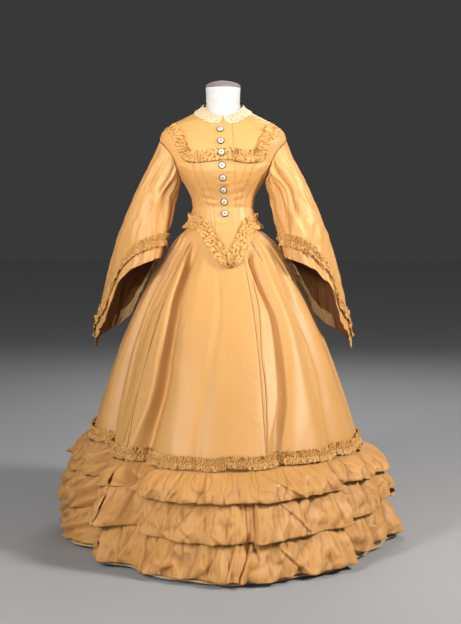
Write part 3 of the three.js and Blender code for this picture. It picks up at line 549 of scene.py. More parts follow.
def cloth_material(name, base, shade, roughness, sheen, crinkle, ribbed=True, gaps=None, creased=None, gloss=0.32):
    """Silk or cotton: two close tones in soft streaks, a slight sheen, and a fine crinkle of a scale,
    strength and depth. gaps is a painted shade: the colour where the tops attribute is 0, deep in gaps
    and creases. creased is the scale, strength and depth of small flat facets, and how much their edges wander."""
    material, tree, shader = new_material(name, {
        "Roughness": roughness, "Sheen Weight": sheen, "Sheen Roughness": 0.35,
        "Sheen Tint": (1.0, 0.90, 0.72, 1), "Specular IOR Level": gloss})
    link = tree.links.new
    uv = add(tree, "UVMap", uv_map="cloth").outputs["UV"]
    stretch = add(tree, "Mapping", {"Scale": (14, 3, 14)})
    link(uv, stretch.inputs["Vector"])
    streaks = add_noise(tree, stretch.outputs["Vector"], 1.6, 3)
    color = blend(tree, streaks.outputs["Fac"], base, shade).outputs["Result"]
    if gaps:
        # painted shade: the colour turns to gaps where tops is 0
        tops = add(tree, "VertexColor", layer_name="tops")
        deep = blend(tree, tops.outputs["Color"], gaps, base)
        link(color, deep.inputs["B"])
        color = deep.outputs["Result"]
    link(color, shader.inputs["Base Color"])
    normal = None
    if ribbed:
        ribs = add(tree, "TexWave", {"Scale": 130, "Distortion": 1.2, "Detail": 2}, wave_type="BANDS",
                   bands_direction="Y")
        link(uv, ribs.inputs["Vector"])
        normal = add_bump(tree, ribs.outputs["Fac"], 0.06, 0.0004, normal)
    if creased:
        scale, strength, depth, wander = creased
        slant = add(tree, "Mapping", {"Rotation": (0, 0, 0.6), "Scale": (2.2, 0.8, 1)})
        link(uv, slant.inputs["Vector"])
        warped = add(tree, "Mix", data_type="VECTOR")
        warped.inputs["Factor"].default_value = wander
        link(slant.outputs["Vector"], warped.inputs[4])
        link(add_noise(tree, uv, scale * 0.6, 1).outputs["Color"], warped.inputs[5])
        cell = add(tree, "TexVoronoi", {"Scale": scale, "Randomness": 1, "Detail": 1}, feature="F1")
        link(warped.outputs[1], cell.inputs["Vector"])
        normal = add_bump(tree, cell.outputs["Distance"], strength, depth, normal)
    scale, strength, depth = crinkle
    normal = add_bump(tree, add_noise(tree, uv, scale, 4).outputs["Fac"], strength, depth, normal)
    link(normal, shader.inputs["Normal"])
    return material


def plain_material(name, color, roughness, metallic=0.0):
    material, tree, shader = new_material(name, {"Roughness": roughness, "Metallic": metallic})
    spots = add(tree, "TexNoise", {"Scale": 40})
    tones = blend(tree, spots.outputs["Fac"], color, [0.93 * value for value in color])
    tree.links.new(tones.outputs["Result"], shader.inputs["Base Color"])
    return material


SILK = cloth_material("silk taffeta", (0.60, 0.322, 0.108), (0.52, 0.262, 0.080), 0.47, 0.1, (60, 0.35, 0.0012),
                      creased=(11, 0.26, 0.005, 0.10), gloss=0.36)
# The flounces' silk, with painted shade: its colour turns to gaps, a dark brown, deep in the creases.
CREASED = cloth_material("creased silk", (0.56, 0.290, 0.094), (0.48, 0.232, 0.068), 0.50, 0.08, (60, 0.35, 0.0012),
                         creased=(13, 0.42, 0.007, 0.10), gloss=0.26, gaps=(0.27, 0.105, 0.026))
# The back of the silk: the same silk as its face, coloured darker as painted shade for the dim insides of the
# sleeves and flounces.
SHADED_SILK_BACK = cloth_material("silk underside", (0.27, 0.115, 0.037), (0.22, 0.092, 0.03), 0.6, 0.05, (60, 0.2, 0.001))
# The trims' silk: paler than the dress's silk where its curls stand up, a painted highlight, and turning to gaps, a
# painted shade, between the curls.
RUCHE = cloth_material("ruched silk", (0.74, 0.425, 0.140), (0.54, 0.260, 0.058), 0.5, 0.1, (300, 0.6, 0.0012),
                       gaps=(0.21, 0.078, 0.016))
LACE, FRILL, BINDING, COTTON, CAP = (cloth_material(*values, ribbed=False) for values in (
    ("lace", (0.68, 0.58, 0.40), (0.58, 0.48, 0.31), 0.8, 0.2, (400, 0.4, 0.0008)),
    ("white lace", (0.66, 0.43, 0.20), (0.50, 0.31, 0.13), 0.8, 0.05, (300, 0.4, 0.0008)),
    ("hem braid", (0.44, 0.31, 0.17), (0.36, 0.25, 0.13), 0.8, 0.1, (300, 0.5, 0.001)),
    ("form cotton", (0.50, 0.49, 0.485), (0.47, 0.462, 0.455), 0.85, 0.1, (300, 0.15, 0.0005)),
    ("cap cloth", (0.20, 0.165, 0.162), (0.18, 0.148, 0.145), 0.75, 0.1, (300, 0.2, 0.0006)),
))
PEARL = plain_material("shell", (0.62, 0.57, 0.49), 0.25)
RIM = plain_material("dark rim", (0.075, 0.05, 0.04), 0.45, 0.3)
EYE = plain_material("grey centre", (0.30, 0.27, 0.25), 0.35, 0.3)
STEEL = plain_material("painted steel", (0.04, 0.04, 0.045), 0.4, 0.6)
# The thread material is painted shade: dark strips laid along the seams and darts, where their grooves fall into
# shade.
SEAM_SHADE = plain_material("thread", (0.26, 0.11, 0.03), 0.7)

# ---------------------------------------------------------------- flounces
# Of each flounce: the height of its top, mm, the seed of its noise, rows of points down it, the shares of
# rise() at its top and hem, the width of its cut in metres, and, at turns across the front, how far its
# hem reaches beyond the skirt and the height of that hem, mm.
FLOUNCES = {
    "upper": {"top": 284, "seed": 11, "rows": 25, "rise": (1.0, 0.9), "cut": 0.096, "reach": [
        (-0.25, 30), (-0.225, 36), (-0.205, 26), (-0.180, 22), (-0.160, 20), (-0.145, 30), (-0.135, 40),
        (-0.122, 36), (-0.112, 20), (-0.102, 14), (-0.092, 26), (-0.080, 40), (-0.066, 40), (-0.045, 50),
        (-0.032, 58), (-0.018, 52), (0.000, 56), (0.017, 60), (0.034, 60), (0.046, 66), (0.065, 62),
        (0.077, 60), (0.100, 52), (0.118, 54), (0.128, 30), (0.145, 40), (0.159, 58), (0.180, 54),
        (0.196, 40), (0.214, 76), (0.228, 86), (0.242, 50), (0.25, 44)],
        "hem": [(-0.25, 206), (-0.2, 194), (-0.15, 204), (-0.135, 214), (-0.12, 220), (-0.108, 224), (-0.098, 230),
                (-0.08, 216), (-0.06, 211), (0.0, 214), (0.08, 213), (0.118, 212), (0.13, 222), (0.17, 222),
                (0.22, 218), (0.25, 220)]},
    "middle": {"top": 248, "seed": 12, "rows": 33, "rise": (0.75, 0.675), "cut": 0.160, "reach": [
        (-0.25, 40), (-0.228, 50), (-0.21, 40), (-0.19, 26), (-0.165, 22), (-0.150, 34), (-0.138, 54),
        (-0.124, 56), (-0.110, 44), (-0.098, 32), (-0.090, 30), (-0.080, 40), (-0.066, 44), (-0.05, 42),
        (-0.039, 46), (-0.02, 54), (0.0, 58), (0.016, 66), (0.028, 56), (0.036, 74), (0.054, 68), (0.066, 66),
        (0.08, 56), (0.098, 48), (0.116, 60), (0.123, 56), (0.130, 30), (0.15, 42), (0.175, 54), (0.195, 44),
        (0.214, 80), (0.228, 92), (0.242, 54), (0.25, 46)],
        "hem": [(-0.25, 104), (-0.2, 96), (-0.15, 108), (-0.125, 114), (-0.1, 122), (-0.086, 118), (-0.06, 110),
                (0.0, 113), (0.08, 114), (0.118, 116), (0.13, 124), (0.17, 122), (0.2, 136), (0.222, 160),
                (0.238, 140), (0.25, 118)]},
    "lower": {"top": 150, "seed": 13, "rows": 33, "rise": (0.2, 0.0), "cut": 0.160, "reach": [
        (-0.25, 44), (-0.23, 54), (-0.214, 44), (-0.195, 26), (-0.176, 16), (-0.160, 16), (-0.148, 20),
        (-0.136, 22), (-0.124, 40), (-0.112, 44), (-0.095, 32), (-0.07, 36), (-0.052, 40), (-0.034, 36),
        (-0.018, 46), (-0.002, 54), (0.015, 66), (0.026, 54), (0.035, 68), (0.05, 60), (0.068, 60),
        (0.092, 68), (0.110, 66), (0.121, 60), (0.130, 26), (0.142, 38), (0.152, 46), (0.162, 34), (0.18, 50),
        (0.198, 44), (0.214, 72), (0.228, 84), (0.242, 52), (0.25, 46)],
        "hem": [(-0.25, 19), (-0.1, 18), (0.0, 17), (0.1, 18), (0.125, 18), (0.134, 34), (0.146, 26), (0.156, 34),
                (0.2, 26), (0.25, 20)]},
}


def table_round(rows, turn, behind):
    """A value from a table across the front, and one for the sides and back."""
    rows = np.array(rows, float)
    signed = turn - np.round(turn)
    past = smoothstep((np.abs(signed) - 0.215) / 0.035)
    return read(rows, 1, signed) * (1 - past) + behind * past


def hem_reach(flounce, turn):
    """How far a flounce's hem stands out of the skirt, mm."""
    seed = flounce["seed"]
    wave = np.cos(TURN * (turn * 13 + 0.3 * np.sin(TURN * turn * 4 + seed)))
    return table_round(flounce["reach"], turn, 42 + 16 * wave + 9 * ripple(turn * 8, seed))


def hem_height(flounce, turn):
    ends = np.array(flounce["hem"], float)[[0, -1], 1].mean()
    return table_round(flounce["hem"], turn, ends)


# The four widths of silk in each flounce: the column each starts at, and its steps in a column.
WIDTHS = [("front", -9, 20), ("left", 9, 10), ("back", 27, 8), ("right", 45, 10)]
WIDTH_COLUMNS = 18
# Crisp folds of the flounces' front: (turn, share of the way down) at both ends, groove and lap in mm. A
# lap above 0 stands on the side of the larger turns.
FLOUNCE_FOLDS = {
    "upper": [((-0.1405, 0.0), (-0.138, 1.0), 5.0, 14.0), ((-0.119, 0.1), (-0.124, 0.9), 3.0, 5.0),
              ((-0.078, 0.0), (-0.0985, 1.0), 9.0, 48.0), ((-0.070, 0.1), (-0.084, 0.6), 3.4, 5.0),
              ((-0.062, 0.1), (-0.070, 0.8), 3.0, 5.0), ((-0.044, 0.0), (-0.056, 0.95), 4.0, 8.0),
              ((-0.010, 0.1), (-0.016, 0.7), 2.0, 3.6), ((0.010, 0.0), (0.004, 0.6), 2.4, 4.0),
              ((0.041, 0.0), (0.037, 0.9), 3.0, 6.0), ((0.044, 0.02), (0.082, 0.98), 3.6, 9.0),
              ((0.074, 0.0), (0.062, 0.75), 3.4, -6.0), ((0.064, 0.0), (0.056, 0.4), 3.4, -4.0),
              ((0.090, 0.0), (0.088, 0.3), 6.0, 5.0), ((0.104, 0.0), (0.112, 0.9), 3.2, 5.0),
              ((0.116, 0.0), (0.1265, 1.0), 4.0, -20.0), ((-0.152, 0.0), (-0.160, 0.6), 2.6, 5.4),
              ((0.150, 0.0), (0.132, 0.95), 3.6, 8.4), ((0.170, 0.1), (0.158, 0.9), 3.6, -6.0),
              ((-0.176, 0.05), (-0.196, 0.9), 4.2, 8.0), ((0.192, 0.05), (0.180, 0.9), 4.0, 7.0),
              ((-0.205, 0.1), (-0.222, 0.9), 4.2, 8.0)],
    "middle": [((-0.134, 0.0), (-0.128, 1.0), 5.0, 15.0), ((-0.116, 0.15), (-0.124, 0.9), 3.8, 6.0),
               ((-0.104, 0.2), (-0.108, 0.95), 3.0, -5.0), ((-0.080, 0.15), (-0.096, 0.98), 4.2, 10.0),
               ((-0.066, 0.2), (-0.082, 0.95), 3.8, 8.0), ((-0.072, 0.3), (-0.062, 0.9), 3.0, -5.0),
               ((-0.046, 0.15), (-0.064, 0.95), 3.6, 8.2), ((-0.020, 0.1), (-0.048, 0.85), 3.6, 7.2),
               ((-0.004, 0.1), (-0.012, 0.9), 2.4, 4.0), ((0.012, 0.1), (0.006, 0.9), 3.2, 5.0),
               ((0.026, 0.0), (0.022, 0.95), 4.0, -6.0), ((0.036, 0.0), (0.0325, 1.0), 8.0, 14.0),
               ((0.046, 0.03), (0.086, 0.95), 3.6, 8.0), ((0.060, 0.1), (0.054, 0.4), 3.2, 4.0),
               ((0.084, 0.0), (0.080, 0.4), 4.0, 5.0), ((0.112, 0.0), (0.118, 0.9), 3.0, 5.6),
               ((0.126, 0.0), (0.1285, 1.0), 5.0, -22.0), ((0.152, 0.05), (0.146, 0.95), 3.4, 6.0),
               ((0.165, 0.0), (0.178, 0.6), 5.6, 7.2), ((0.180, 0.1), (0.166, 0.95), 4.6, 7.2),
               ((-0.170, 0.1), (-0.190, 0.9), 4.6, 10.0), ((-0.150, 0.0), (-0.166, 0.9), 3.6, 7.0),
               ((-0.195, 0.1), (-0.219, 0.8), 4.6, 10.0), ((0.2, 0.0), (0.216, 0.8), 4.0, 7.4)],
    "lower": [((-0.126, 0.0), (-0.119, 1.0), 5.0, 16.0), ((-0.112, 0.1), (-0.104, 0.9), 3.4, -6.0),
              ((-0.096, 0.2), (-0.104, 0.9), 3.4, 7.0), ((-0.082, 0.2), (-0.078, 1.0), 5.0, -12.0),
              ((-0.060, 0.1), (-0.072, 0.7), 3.4, 6.0), ((-0.040, 0.1), (-0.056, 0.8), 3.6, 6.0),
              ((-0.020, 0.1), (-0.032, 0.95), 3.4, 6.0), ((0.002, 0.1), (-0.016, 0.95), 3.6, 8.4),
              ((0.020, 0.05), (0.004, 1.0), 4.0, 9.0), ((0.034, 0.0), (0.019, 1.0), 8.0, 16.0),
              ((0.028, 0.1), (0.034, 0.6), 5.0, -6.0), ((0.038, 0.03), (0.076, 0.98), 3.8, 11.0),
              ((0.058, 0.0), (0.062, 0.4), 3.6, 5.0), ((0.076, 0.0), (0.072, 0.4), 3.6, 5.0),
              ((0.098, 0.1), (0.090, 0.7), 3.6, 6.0), ((0.116, 0.0), (0.1275, 1.0), 4.0, -24.0),
              ((0.136, 0.0), (0.128, 0.7), 4.0, 6.0), ((0.160, 0.2), (0.146, 1.0), 4.6, 14.0),
              ((0.176, 0.1), (0.168, 0.9), 4.0, -7.0), ((0.190, 0.1), (0.204, 0.8), 4.6, 8.0),
              ((-0.170, 0.1), (-0.184, 0.8), 4.4, 10.0), ((-0.190, 0.2), (-0.212, 0.8), 4.4, 10.0)],
}
SMALL_CREASES = {"count": 340, "run": (26, 110), "depth": (1.8, 6.8), "steep": 2.4, "gentle": 15}


def flounce_points(which, turn, share):
    """The outer face of a flounce. share is 0 at its gathers and 1 at its hem."""
    flounce = FLOUNCES[which]
    seed = flounce["seed"]
    lower_end = hem_height(flounce, turn) + 2.2 * ripple(turn * 10, seed + 3)
    top_rise, hem_rise = (part * rise(turn) for part in flounce["rise"])
    height = (flounce["top"] + top_rise) * (1 - share) + (lower_end + hem_rise) * share
    depth = flounce["top"] - lower_end
    around = turn * girth(height)
    out = 4.2 + hem_reach(flounce, turn) * (1 - (1 - share) ** 2.3)
    gathers = ripple(turn * 150 + 0.3 * ripple(turn * 40, seed + 9), seed + 1, 3)
    flutes = ripple(turn * 34 + 0.2 * share, seed + 2, 3)
    out = out + (2.4 + 2.6 * gathers) * np.exp(-share * 6.5) + 1.8 * gathers * np.exp(-share * 2.2) * share * 3
    out = out + (1.2 + 1.0 * share) * flutes * smoothstep(share * 3)
    signed = turn - np.round(turn)
    for (t0, s0), (t1, s1), groove, lap in FLOUNCE_FOLDS[which]:
        along = np.interp(share, [s0, s1], [t0, t1])
        low_end = 1.0 if s1 > 0.97 else smoothstep((s1 + 0.1 - share) / 0.15)
        ends = smoothstep((share - s0 + 0.12) / 0.2) * low_end
        away = (signed - along) * girth(height) * math.copysign(1, lap)
        side = np.where(away > 0, np.exp(-np.abs(away) / (18 + abs(lap))), np.exp(-np.abs(away) / 2.0))
        out = out + ends * (abs(lap) * side * (0.35 + 0.65 * share) - groove * np.exp(-((away / 3.0 + 0.8) ** 2)))
    out = out + small_creases(turn, share, depth, girth(height), seed)
    out = out + 9.5 * facets(around, height, seed + 20, 84, 0.75) * (0.25 + 0.75 * share)
    out = np.maximum(out, 3.0 + 2.5 * share)
    sway = 6.0 * ripple(turn * 16, seed + 7) * share ** 1.5
    return skirt_plain(turn + sway / girth(height), height, out)


def small_creases(turn, share, depth, around, seed):
    """Short sharp creases strewn over a flounce: steep on one side and gentle on the other."""
    rng = np.random.default_rng(seed + 40)
    out = np.zeros(np.shape(turn))
    for _ in range(SMALL_CREASES["count"]):
        middle, down = rng.random(), rng.random() ** 1.1
        lean = np.clip(rng.normal() * 0.55, -1.2, 1.2)
        run = rng.uniform(*SMALL_CREASES["run"])
        size = rng.uniform(*SMALL_CREASES["depth"])
        steep, gentle = SMALL_CREASES["steep"], SMALL_CREASES["gentle"] * rng.uniform(0.6, 1.6)
        if rng.random() < 0.5:
            steep, gentle = gentle, steep
        du = turn - middle
        du = (du - np.round(du)) * around
        near = np.abs(du) < 100
        du, dv = du[near], (share[near] - down) * depth[near]
        along = (du * math.sin(lean) + dv * math.cos(lean)) / run
        across = du * math.cos(lean) - dv * math.sin(lean) + 4 * np.sin(along * 4 + middle * 60)
        ends = np.clip(1 - np.abs(2 * along) ** 2, 0, 1)
        out[near] += ends * size * np.exp(-np.abs(across) / np.where(across > 0, gentle, steep))
    return out


for which, flounce in FLOUNCES.items():
    for width_name, first, per_column in WIDTHS:
        turns = np.linspace(first * COLUMN, (first + WIDTH_COLUMNS) * COLUMN, WIDTH_COLUMNS * per_column + 1)
        t, s = np.meshgrid(turns, np.linspace(1, 0, flounce["rows"]), indexing="ij")
        points = flounce_points(which, t, s)
        node = f"flounce_{which}_{width_name}"
        piece = cloth(node + "_silk", points, CREASED, inner=SHADED_SILK_BACK)
        # painted shade: the creases of each flounce are coloured darker the deeper they lie
        paint_shade_by(piece, open_share(points))
        place(piece, [node])

# ---------------------------------------------------------------- skirt
HEM_OF_SKIRT = 9.0
for name, first, last in GORES:
    turns = np.linspace(first * COLUMN, last * COLUMN, (last - first) * (4 if "back" in name else 8) + 1)
    heights = np.concatenate([np.linspace(HEM_OF_SKIRT, 300, 10)[:-1], np.linspace(300, 1014, 108)])
    t, h = np.meshgrid(turns, heights, indexing="ij")
    gap = SEAM / girth(h)
    t = t + np.where(t == turns[0], gap, 0) - np.where(t == turns[-1], gap, 0)
    piece = cloth(name + "_silk", skirt(t, h), SILK, inner=SHADED_SILK_BACK)
    place(piece, [name])

# The braid that binds the hem shows as a pale line under the lowest flounce.
turns = np.linspace(0, 1, 361)
t, h = np.meshgrid(turns, np.linspace(8, 15, 3), indexing="ij")
piece = cloth("hem_braid", skirt(t, h, 1.0), BINDING, thickness=1.0)
place(piece, ["skirt_front"])


# ---------------------------------------------------------------- ruched trims
RUCHE_PITCH = 9.5


def ruche_lift(along, across, seed, crest):
    """Height of a ruched band over its panel, mm: curls either side of the line it is sewn along.
    along is in mm, across goes from -1 to 1."""
    pace = along / RUCHE_PITCH + 0.7 * ripple(along / 55, seed)
    upper = np.abs(np.sin(math.pi * (pace + 0.40 * ripple(along / 24 + across * 0.2, seed + 1))))
    lower = np.abs(np.sin(math.pi * (pace * 0.97 + 0.5 + 0.40 * ripple(along / 21 + across * 0.2, seed + 2))))
    curl = np.where(across > 0, upper, lower) ** 0.55
    uneven = 0.78 + 0.30 * ripple(along / 17 + 0.6 * across, seed + 3) + 0.12 * ripple(along / 5.5, seed + 6)
    edge = 0.22 + 0.78 * np.abs(across) ** 0.7
    return 1.4 + edge * crest * uneven * curl + 0.7 * crumple(along, across * 16, seed + 4, 7, 6)


def edge_wander(along, across, seed):
    """How much further out the frayed edges of a ruched band stand, as a share of its half width."""
    side = np.where(across > 0, 1.0, 7.3)
    waves = 0.12 * ripple(along / 13 + side, seed + 5) + 0.16 * ripple(along / 5.2 + side, seed + 6)
    return np.abs(across) ** 2 * waves


def curl_share(along, across, seed):
    """0 in the gaps between the curls of a ruched band and 1 on their tops: where its shade is painted and where
    not.
    """
    high = ruche_lift(along, across, seed, 1.0)
    gap, top = np.percentile(high, 8), np.percentile(high, 75)
    return np.clip((high - gap) / (top - gap), 0, 1) ** 0.8


def band_on(surface, path, length, width, seed, crest, lift=0.0, across_steps=12, step=1.35):
    """The points of a ruched band on a surface of (turn, height), along path(share), and its tops, which set where
    its shade is painted.
    """
    share = np.linspace(0, 1, int(length / step) + 1)
    turn, height = path(share)
    ahead = surface(*path(share + 0.002)) - surface(*path(share - 0.002))
    du, dv = 0.0008, 0.5
    per_turn = (surface(turn + du, height) - surface(turn - du, height)) / (2 * du)
    per_height = (surface(turn, height + dv) - surface(turn, height - dv)) / (2 * dv)
    out = np.cross(per_turn, per_height)
    out /= np.linalg.norm(out, axis=-1, keepdims=True)
    sideways = np.cross(out, ahead)
    sideways /= np.linalg.norm(sideways, axis=-1, keepdims=True)
    a, b, d = [(x * y).sum(-1) for x, y in ((per_turn, per_turn), (per_turn, per_height), (per_height, per_height))]
    p, q = (sideways * per_turn).sum(-1), (sideways * per_height).sum(-1)
    det = a * d - b * b
    step_turn, step_height = (d * p - b * q) / det, (a * q - b * p) / det
    along, rows = spread((share * length)[:, None], np.linspace(-1, 1, across_steps))
    across = rows * (1 + edge_wander(along, rows, seed)) * width / 2
    base = surface(turn[:, None] + step_turn[:, None] * across, height[:, None] + step_height[:, None] * across)
    high = ruche_lift(along, rows, seed, crest) + lift
    sway = 2.4 * ripple(along / 11, seed + 8) * np.abs(rows)
    drift = ahead / np.linalg.norm(ahead, axis=-1, keepdims=True)
    points = base + out[:, None, :] * high[..., None] + drift[:, None, :] * sway[..., None]
    return points, curl_share(along, rows, seed)


def trim(name, band, nodes):
    """A ruched band of a single layer, with shade painted darker into its gaps."""
    points, tops = band
    piece = mesh_of(name, points, cells(*points.shape[:2]), lengths(points), RUCHE)
    paint_shade_by(piece, tops)
    return place(piece, nodes)


def skirt_trim_path(share):
    turn = share + 0.5
    return turn, 302 + rise(turn) + 3.5 * ripple(turn * 9, 77)


band = band_on(skirt_plain, skirt_trim_path, length=2960, width=38, seed=31, crest=10.0, lift=3.4, across_steps=11)
trim("skirt_trim_silk", band, ["skirt_trim"])


def basque_trim_path(share):
    turn = share + 0.5
    slope = (basque_edge(turn + 0.004) - basque_edge(turn - 0.004)) / 0.008
    spot = bodice(turn, basque_edge(turn))
    radius = np.hypot(spot[..., 0], spot[..., 1]) * TURN
    across = np.stack([-slope / radius, np.ones_like(slope)], -1)
    across /= np.linalg.norm(across, axis=-1, keepdims=True)
    return turn + across[..., 0] * 21 / radius, basque_edge(turn) + across[..., 1] * 21


band = band_on(bodice, basque_trim_path, length=850, width=44, seed=41, crest=9.0, lift=1.0)
trim("basque_trim_silk", band, ["basque_trim"])

YOKE_TRIM = {"width": 37, "crest": 11.0, "lift": 1.4}
# Places in (mm from the middle, height). The front halves start beside the buttons.
YOKE_PATH = [(9, 1179), (44, 1174), (82, 1171), (108, 1178), (124, 1203), (141, 1236), (160, 1263)]
YOKE_BACK_PATH = [(0, 1172), (44, 1172), (84, 1174), (110, 1184), (128, 1208), (143, 1238), (160, 1263)]


def catmull(points, share):
    """A smooth curve through points at shares 0 to 1."""
    points = np.asarray(points, float)
    padded = np.vstack([2 * points[0] - points[1], points, 2 * points[-1] - points[-2]])
    place_on = np.clip(share, 0, 1) * (len(points) - 1)
    i = np.clip(place_on.astype(int), 0, len(points) - 2)
    t = (place_on - i)[:, None]
    a, b, c, d = padded[i], padded[i + 1], padded[i + 2], padded[i + 3]
    return 0.5 * (2 * b + (c - a) * t + (2 * a - 5 * b + 4 * c - d) * t * t + (3 * b - a - 3 * c + d) * t ** 3)


def yoke_path(rows, mirror, back):
    def path(share):
        spots = catmull(rows, share)
        turns = np.array([mirror * turn_at_side(x, y) for x, y in spots])
        return (0.5 - turns if back else turns), spots[:, 1]
    return path


for name, mirror, start in (("right", -1, -27), ("left", 1, 28)):
    rows = [(start, 1179)] + YOKE_PATH[1:]
    band = band_on(bodice, yoke_path(rows, mirror, False), length=235, seed=51 + mirror, **YOKE_TRIM)
    trim(f"yoke_trim_{name}_silk", band, [f"yoke_trim_{name}"])


def yoke_back(share):
    left, right = yoke_path(YOKE_BACK_PATH, 1, True), yoke_path(YOKE_BACK_PATH, -1, True)
    t1, h1 = left(1 - 2 * share)
    t2, h2 = right(2 * share - 1)
    return np.where(share < 0.5, t1, t2), np.where(share < 0.5, h1, h2)


band = band_on(bodice, yoke_back, length=460, seed=57, **YOKE_TRIM)
trim("yoke_trim_back_silk", band, ["yoke_trim_back"])

# ---------------------------------------------------------------- bodice
LAP, BUTTON_TOP, BUTTON_SPACING = 36, 1254, 36.3


def button_side(height):
    return -8 + 0.053 * (BUTTON_TOP - height)


def side_turn(height):
    away = (height - ARMHOLE["height"]) / ARMHOLE["half_height"]
    return 0.25 - ARMHOLE["half_turn"] * np.sqrt(np.clip(1 - away * away, 0, None))


def back_seam(height):
    return 0.082 + 0.048 * smoothstep((height - WAIST) / 240)


def lap_turn(height):
    height = np.atleast_1d(height)
    return np.array([turn_at_side(button_side(h) + LAP, h) for h in height.ravel()]).reshape(height.shape)


# Seams and darts in (turn, height): depth, width, lap.
BODICE_LINES = [
    ([(-0.086, 1165), (-0.0955, 1087), (-0.075, 1018), (-0.045, 960)], 1.6, 1.8, 0.9),
    ([(-0.062, 1150), (-0.064, 1087), (-0.048, 1018), (-0.030, 950)], 1.6, 1.8, 0.9),
    ([(0.092, 1165), (0.098, 1087), (0.088, 1018), (0.072, 960)], 1.6, 1.8, -0.9),
    ([(0.066, 1146), (0.0633, 1072), (0.066, 1018), (0.058, 940)], 1.6, 1.8, -0.9),
    ([(-0.176, 1140), (-0.150, 1100), (-0.132, 1050), (-0.128, 960)], 1.5, 1.8, 0.9),
    ([(0.176, 1140), (0.150, 1100), (0.132, 1050), (0.128, 960)], 1.5, 1.8, -0.9),
]
# Soft drag lines: (turn, height) at both ends, depth, width.
BODICE_DRAGS = [
    ((-0.205, 1262), (-0.085, 1284), 2.6, 7), ((-0.19, 1250), (-0.08, 1268), 2.2, 7),
    ((-0.17, 1238), (-0.07, 1250), 1.6, 7),
    ((0.20, 1262), (0.09, 1284), 1.8, 7), ((0.17, 1238), (0.08, 1252), 1.4, 7),
    ((-0.16, 1150), (-0.10, 1130), 1.8, 8), ((0.16, 1152), (0.10, 1132), 1.8, 8),
    ((-0.11, 1060), (-0.02, 1048), 1.6, 6), ((-0.12, 1040), (-0.02, 1030), 1.4, 5),
    ((-0.10, 1084), (-0.02, 1074), 1.0, 6), ((0.12, 1058), (0.03, 1046), 1.6, 6),
    ((0.12, 1036), (0.04, 1028), 1.4, 5), ((0.10, 1084), (0.03, 1076), 1.0, 6),
    ((-0.03, 990), (0.03, 982), 1.4, 6), ((-0.03, 966), (0.04, 956), 1.3, 6),
    ((-0.02, 938), (0.035, 930), 1.2, 6), ((-0.02, 1238), (0.02, 1234), 0.9, 6),
    ((-0.02, 1130), (0.03, 1126), 0.9, 5), ((-0.03, 1092), (0.03, 1088), 0.9, 5),
]
DRAG_STRENGTH = 1.5
BODICE_SCALE = TURN * 120  # mm to a turn, roughly


def bodice_detail(turn, height):
    """Height over the plain form of the bodice of its seams, darts and drag lines, mm."""
    signed = turn - np.round(turn)
    out = np.zeros_like(signed)
    for path, depth, width, lap in BODICE_LINES:
        stitches = 1 + 0.35 * np.sin(height / 2.6)
        out += stitches * crease(signed, height, path, BODICE_SCALE, depth, width, lap)
    for (t0, h0), (t1, h1), depth, width in BODICE_DRAGS:
        du, dv = (t1 - t0) * BODICE_SCALE, h1 - h0
        length = math.hypot(du, dv)
        u, v = (signed - t0) * BODICE_SCALE, height - h0
        along, across = (u * du + v * dv) / length, (v * du - u * dv) / length
        taper = smoothstep(along / (0.3 * length)) * smoothstep((length - along) / (0.3 * length))
        ridge = np.exp(-((across / width) ** 2)) - 0.7 * np.exp(-(((across + 1.5 * width) / width) ** 2))
        out += taper * DRAG_STRENGTH * depth * ridge
    return out + 0.35 * crumple(signed * BODICE_SCALE, height, 61, 48)


def bodice_surface(turn, height, lift=0.0):
    """The bodice with its seams, darts and drag lines."""
    turn, height = spread(turn, height)
    out = outward(bodice, turn, height, 0.002, 1.5)
    return bodice(turn, height) + out * (bodice_detail(turn, height) + lift)[..., None]


def seam_shade_strip(name, surface, spots, width, material, lift, count=40):
    """A narrow strip along a line on a surface, through spots of (turn, height); here it carries the painted shade
    of seams and darts.
    """
    spots = catmull(spots, np.linspace(0, 1, count))
    middle = surface(spots[:, 0], spots[:, 1], np.full(count, lift))
    ahead = np.gradient(middle, axis=0)
    out = surface(spots[:, 0], spots[:, 1], np.full(count, lift + 1)) - middle
    aside = np.cross(out, ahead)
    aside /= np.linalg.norm(aside, axis=-1, keepdims=True)
    rows = np.array([-0.5, 0.5]) * width
    points = middle[:, None, :] + aside[:, None, :] * rows[None, :, None]
    return mesh_of(name, points, cells(*points.shape[:2]), lengths(points), material)


def bodice_panel(name, from_turn, to_turn, columns, grooves):
    """A panel from the bodice's lower edge to its neckline, between seams at a turn for each height.
    grooves is how deep the cloth dips at either seam, mm."""
    below, above = np.linspace(0, 1, 26)[:-1], np.linspace(0, 1, 20)
    middle = np.linspace(WAIST, 1278, 66)[:-1]

    def turn_at(height, share):
        height = np.atleast_1d(height)
        return from_turn(height) * (1 - share) + to_turn(height) * share

    turns, heights = [], []
    for share in np.linspace(0, 1, columns + 1):
        edge = float(WAIST)
        for _ in range(4):  # the lower edge depends on the turn, and the turn on the height
            edge = float(basque_edge(turn_at(edge, share))[0])
        top = float(neckline(turn_at(1300.0, share))[0])
        column = np.concatenate([edge + (WAIST - edge) * below, middle, 1278 + (top - 1278) * above])
        turns.append(turn_at(column, share))
        heights.append(column)
    t, h = np.array(turns), np.array(heights)
    radius = np.maximum(60, np.hypot(*np.moveaxis(bodice(t, h)[..., :2], -1, 0))) * TURN
    t[0] += (SEAM if grooves[0] > 0.5 else 0.03) / radius[0]
    t[-1] -= (SEAM if grooves[1] > 0.5 else 0.03) / radius[-1]
    base = bodice(t, h)
    lift = bodice_detail(t, h)
    for edge, depth in zip((0, -1), grooves):
        lift -= depth * np.exp(-((np.linalg.norm(base - base[edge][None], axis=-1) / 3.0) ** 2))
    return cloth(name + "_silk", base + normals(base) * lift[..., None], SILK, inner=SHADED_SILK_BACK)


